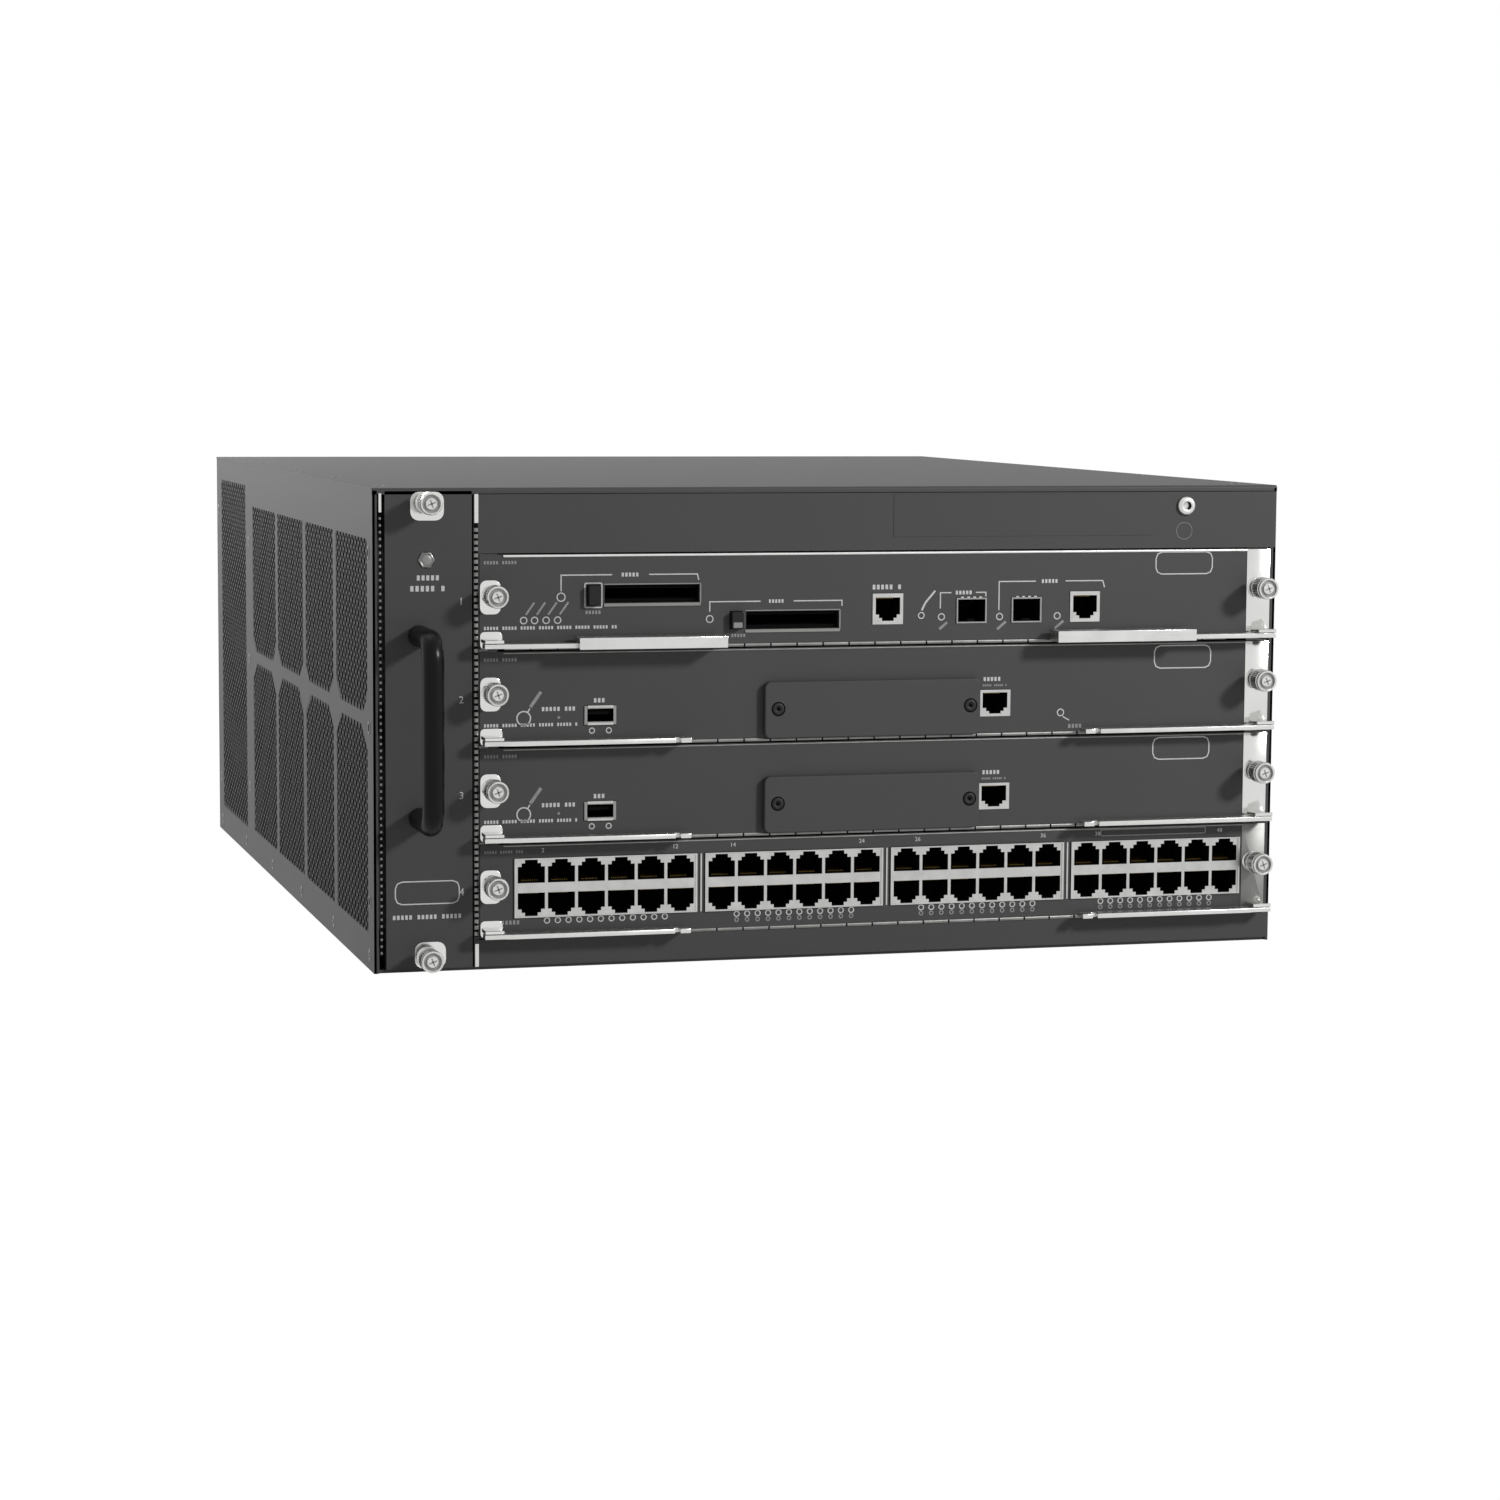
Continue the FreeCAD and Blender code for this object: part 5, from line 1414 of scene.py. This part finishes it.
@dataclass
class PowerSupply:
    """A supply's rear: case with strap handle, fan guard, vents, inlet and lights."""

    number: int
    guard: tuple[float, float] = (126.0, 64.0)
    guard_radii: tuple[float, ...] = (9.0, 17.0, 25.0, 33.0, 38.0)
    guard_rise: float = 2.2
    spoke_reach: float = 44.0
    wire_radius: float = 0.9
    inlet: Box = (24.0, 22.0, 54.0, 44.0)

    def fan_guard(self) -> Shell:
        """Rings of wire on four spokes, over a dark mouth."""
        # The dark mouth is a near-black disc behind the wires: painted shade.
        parts = [disc((37.0, 0.01), (37.0, 0.25), sides=48).painted(1)]
        small, (c, s) = self.wire_radius * circle(8), circle(40).T[:, :, None]
        for radius in self.guard_radii:
            reach = radius + small[None, :, 0]
            rise = np.broadcast_to(self.guard_rise + small[None, :, 1], (40, 8))
            parts.append(stacked(np.stack([reach * c, reach * s, rise], -1), looped=True))
        for k in range(4):
            c, s = math.cos(math.pi * (k / 2 + 0.25)), math.sin(math.pi * (k / 2 + 0.25))
            path = np.array([(r * c, r * s, 1.2) for r in (0.0, 20.0, self.spoke_reach)])
            foot = disc((3.2, 0.01), (3.2, 1.4), (2.4, 2.0), sides=20)
            parts += [wire(path, self.wire_radius, 8, (0, 0, 1)),
                      foot.moved(self.spoke_reach * c, self.spoke_reach * s)]
        return joined(parts).moved(*self.guard)

    def socket(self) -> Shell:
        """The inlet's mouth with two cut corners, its floor and three blades."""
        left, low, right, high = self.inlet
        across = [left + 0.1, left + 2.5, left + 5.5, right - 5.5, right - 2.5, right - 0.1]
        up = [low + 0.1, low + 2.5, low + 5.5, high - 2.5, high - 0.1]
        corners = [[(across[side], up[1]), (across[beside], up[1]), (across[side], up[2])]
                   for side, beside in ((1, 2), (4, 3))]
        mouth = fretted(across, up, [(across[1], up[1], across[4], up[3])], -16.0, -0.2, corners)
        floor = slab(left + 0.2, low + 0.2, right - 0.2, high - 0.2, 0.3, (0, -17.6), (0, -16.02))
        blade = slab(-1.0, -2.5, 1.0, 2.5, 0.3, (0, -16), (0, -4), (0.5, -3)).painted(1)
        return joined([mouth, floor, *[blade.moved((left + right) / 2 + shift, low + rise)
                                       for shift, rise in ((-6, 9.5), (6, 9.5), (0, 14.0))]])

    def build(self) -> None:
        """Make the supply's rear pieces and dress its solids."""
        name = "psu_%d" % self.number
        low, _ = box(name + "_case")
        face = Face((low[0], REAR, low[2]), out=(0, 1, 0))
        piece(name + "_inlet", face.lay(self.socket()), [NYLON, NICKEL], name, Slot.MOULDED)
        # Vent slots drawn as near-black pads: painted shade for the openings.
        vent = pad(-1.3, -9.0, 1.3, 9.0, 1.2, 0.12).painted(1)
        light = disc((1.8, 0.01), (1.8, 0.3), (1.1, 0.5), sides=16)
        shell = face.lay(self.fan_guard(), repeated(vent, spread(12 + 6.5 * np.arange(9), [70.0, 95.0])),
                         repeated(light, spread([12.0, 20.0, 28.0], [120.0])),
                         repeated(cross_screw(2.6, 0.8), spread([7.0, 198.0], [7.0, 125.0])))
        piece(name + "_guard", shell, [NICKEL, CAVITY], name, Slot.PLATED)
        eased(name + "_case", name + "_enamelled_case", SUPPLY, 0.6)
        eased(name + "_switch", name + "_rocker", NYLON, 0.4)


# ---------------------------------------------------------------- studio

@dataclass(frozen=True)
class Lamp:
    """One soft box, aimed at the middle of the switch."""

    name: str
    direction: Triple
    distance: float
    size: float
    watts: float

    def build(self, target: Vector) -> None:
        """Hang the lamp."""
        data = bpy.data.lights.new(self.name, "AREA")
        data.energy, data.size = self.watts, self.size
        item = bpy.data.objects.new(self.name, data)
        way = Vector(self.direction).normalized()
        item.location = target + way * self.distance
        item.rotation_mode = "QUATERNION"
        item.rotation_quaternion = way.to_track_quat("Z", "Y")
        bpy.context.scene.collection.objects.link(item)


@dataclass(frozen=True)
class Studio:
    """The camera, the lamps, the white surroundings and the floor."""

    place: Triple = (-497.1, -1918.9, 277.6)
    turn: float = math.radians(15.46)
    dip: float = math.radians(5.98)
    roll: float = math.radians(0.342)
    lens: float = 88.1
    fill: float = 0.26
    floor_reach: float = 9.0
    floor_share: float = 0.97
    floor_glow: float = 1.02
    lamps: tuple[Lamp, ...] = (
        Lamp("key", (13, -16, 9), 2.6, 0.32, 58.0),
        Lamp("top", (-2, 3, 10), 2.4, 1.6, 11.0),
        Lamp("side", (-6, 9, 4.5), 1.17, 0.4, 9.0),
    )

    def camera(self) -> None:
        """Set the camera by its place, turn, dip and roll."""
        ahead = Vector((math.sin(self.turn) * math.cos(self.dip), math.cos(self.turn) * math.cos(self.dip),
                        -math.sin(self.dip)))
        level = Vector((math.cos(self.turn), -math.sin(self.turn), 0))
        above = level.cross(ahead)
        right = level * math.cos(self.roll) + above * math.sin(self.roll)
        up = above * math.cos(self.roll) - level * math.sin(self.roll)
        data = bpy.data.cameras.new("camera")
        data.lens, data.sensor_width = self.lens, 36.0
        data.clip_start, data.clip_end = 0.05, 60.0
        item = bpy.data.objects.new("camera", data)
        basis = Matrix((right, up, -ahead)).transposed().to_4x4()
        item.matrix_world = Matrix.Translation(Vector(self.place) * MM) @ basis
        bpy.context.scene.collection.objects.link(item)
        bpy.context.scene.camera = item

    @staticmethod
    def seen(tree: bpy.types.NodeTree) -> bpy.types.NodeSocket:
        """One where a ray comes from the camera, a mirror or glass, otherwise zero."""
        path = add_node(tree, "ShaderNodeLightPath")
        pair = add_node(tree, "ShaderNodeMath", {"operation": "ADD"},
                        {0: path.outputs["Is Camera Ray"], 1: path.outputs["Is Glossy Ray"]})
        both = add_node(tree, "ShaderNodeMath", {"operation": "ADD", "use_clamp": True},
                        {0: pair.outputs[0], 1: path.outputs["Is Transmission Ray"]})
        return both.outputs[0]

    def surroundings(self) -> None:
        """White to the eye and to mirrors, and a dimmer fill to everything else."""
        world = bpy.data.worlds.new("studio")
        world.use_nodes = True
        tree = world.node_tree
        tree.nodes.clear()
        pure = linear("#ffffff")
        fill, white = (add_node(tree, "ShaderNodeBackground", {"Color": pure, "Strength": strength})
                       for strength in (self.fill, 1.0))
        mix = add_node(tree, "ShaderNodeMixShader", {}, {0: self.seen(tree), 1: fill.outputs[0],
                                                         2: white.outputs[0]})
        add_node(tree, "ShaderNodeOutputWorld", {}, {"Surface": mix.outputs[0]})
        bpy.context.scene.world = world

    def floor(self) -> None:
        """A wide pale floor that keeps a faint shadow."""
        reach = self.floor_reach
        mesh = bpy.data.meshes.new("floor")
        mesh.from_pydata([(x, y, -0.1 * MM) for x, y in ((-reach, -reach), (reach, -reach), (reach, reach),
                                                         (-reach, reach))], [], [(0, 1, 2, 3)])
        made = bpy.data.materials.new("white_floor")
        made.use_nodes = True
        tree = made.node_tree
        tree.nodes.clear()
        paint = add_node(tree, "ShaderNodeBsdfDiffuse", {"Color": linear("#f6f6f6")})
        glow = add_node(tree, "ShaderNodeEmission", {"Color": linear("#ffffff"), "Strength": self.floor_glow})
        share = add_node(tree, "ShaderNodeMath", {"operation": "MULTIPLY", 1: self.floor_share},
                         {0: self.seen(tree)})
        mix = add_node(tree, "ShaderNodeMixShader", {}, {0: share.outputs[0], 1: paint.outputs[0],
                                                         2: glow.outputs[0]})
        add_node(tree, "ShaderNodeOutputMaterial", {}, {"Surface": mix.outputs[0]})
        mesh.materials.append(made)
        item = bpy.data.objects.new("floor", mesh)
        bpy.context.scene.collection.objects.link(item)

    def build(self) -> None:
        """Set up the studio."""
        self.camera()
        self.surroundings()
        self.floor()
        for lamp in self.lamps:
            lamp.build(Vector((0, 0, TOP * MM / 2)))
        bpy.context.scene.view_settings.view_transform = "Standard"


def main() -> None:
    """Build every sub-assembly in order."""
    logging.basicConfig(level=logging.INFO, format="%(name)s: %(message)s")
    dress(COAT, "bottom_pan", "front_frame", "rear_panel")
    dress(INNER_ZINC, "cage_wall_left", "cage_wall_right")
    dress(BOARD, "backplane")
    right_low, right_high = box("front_frame")[0][2] + 12.5, box("supervisor_faceplate")[1][2] + 0.6
    SidePanel(Side.LEFT, ((20.0, 15.0, 125.0, 209.0),), 2.5, 0.0, TOP - 1.5).build()
    SidePanel(Side.RIGHT, (), 2.7, right_low, right_high).build()
    skin = Skin()
    skin.lid()
    skin.screws()
    Header().build()
    FanTray().build()
    Supervisor("supervisor", 31.4, 41.9, bead=0.6, bead_finish=NICKEL).build()
    ServiceModule("service_a", second_light=True).build()
    ServiceModule("service_b", 31.0, 41.5).build()
    AccessModule("access", bare_finish=DULL_NICKEL).build()
    for number in (1, 2):
        PowerSupply(number).build()
    Studio().build()


if __name__ == "__main__":
    main()
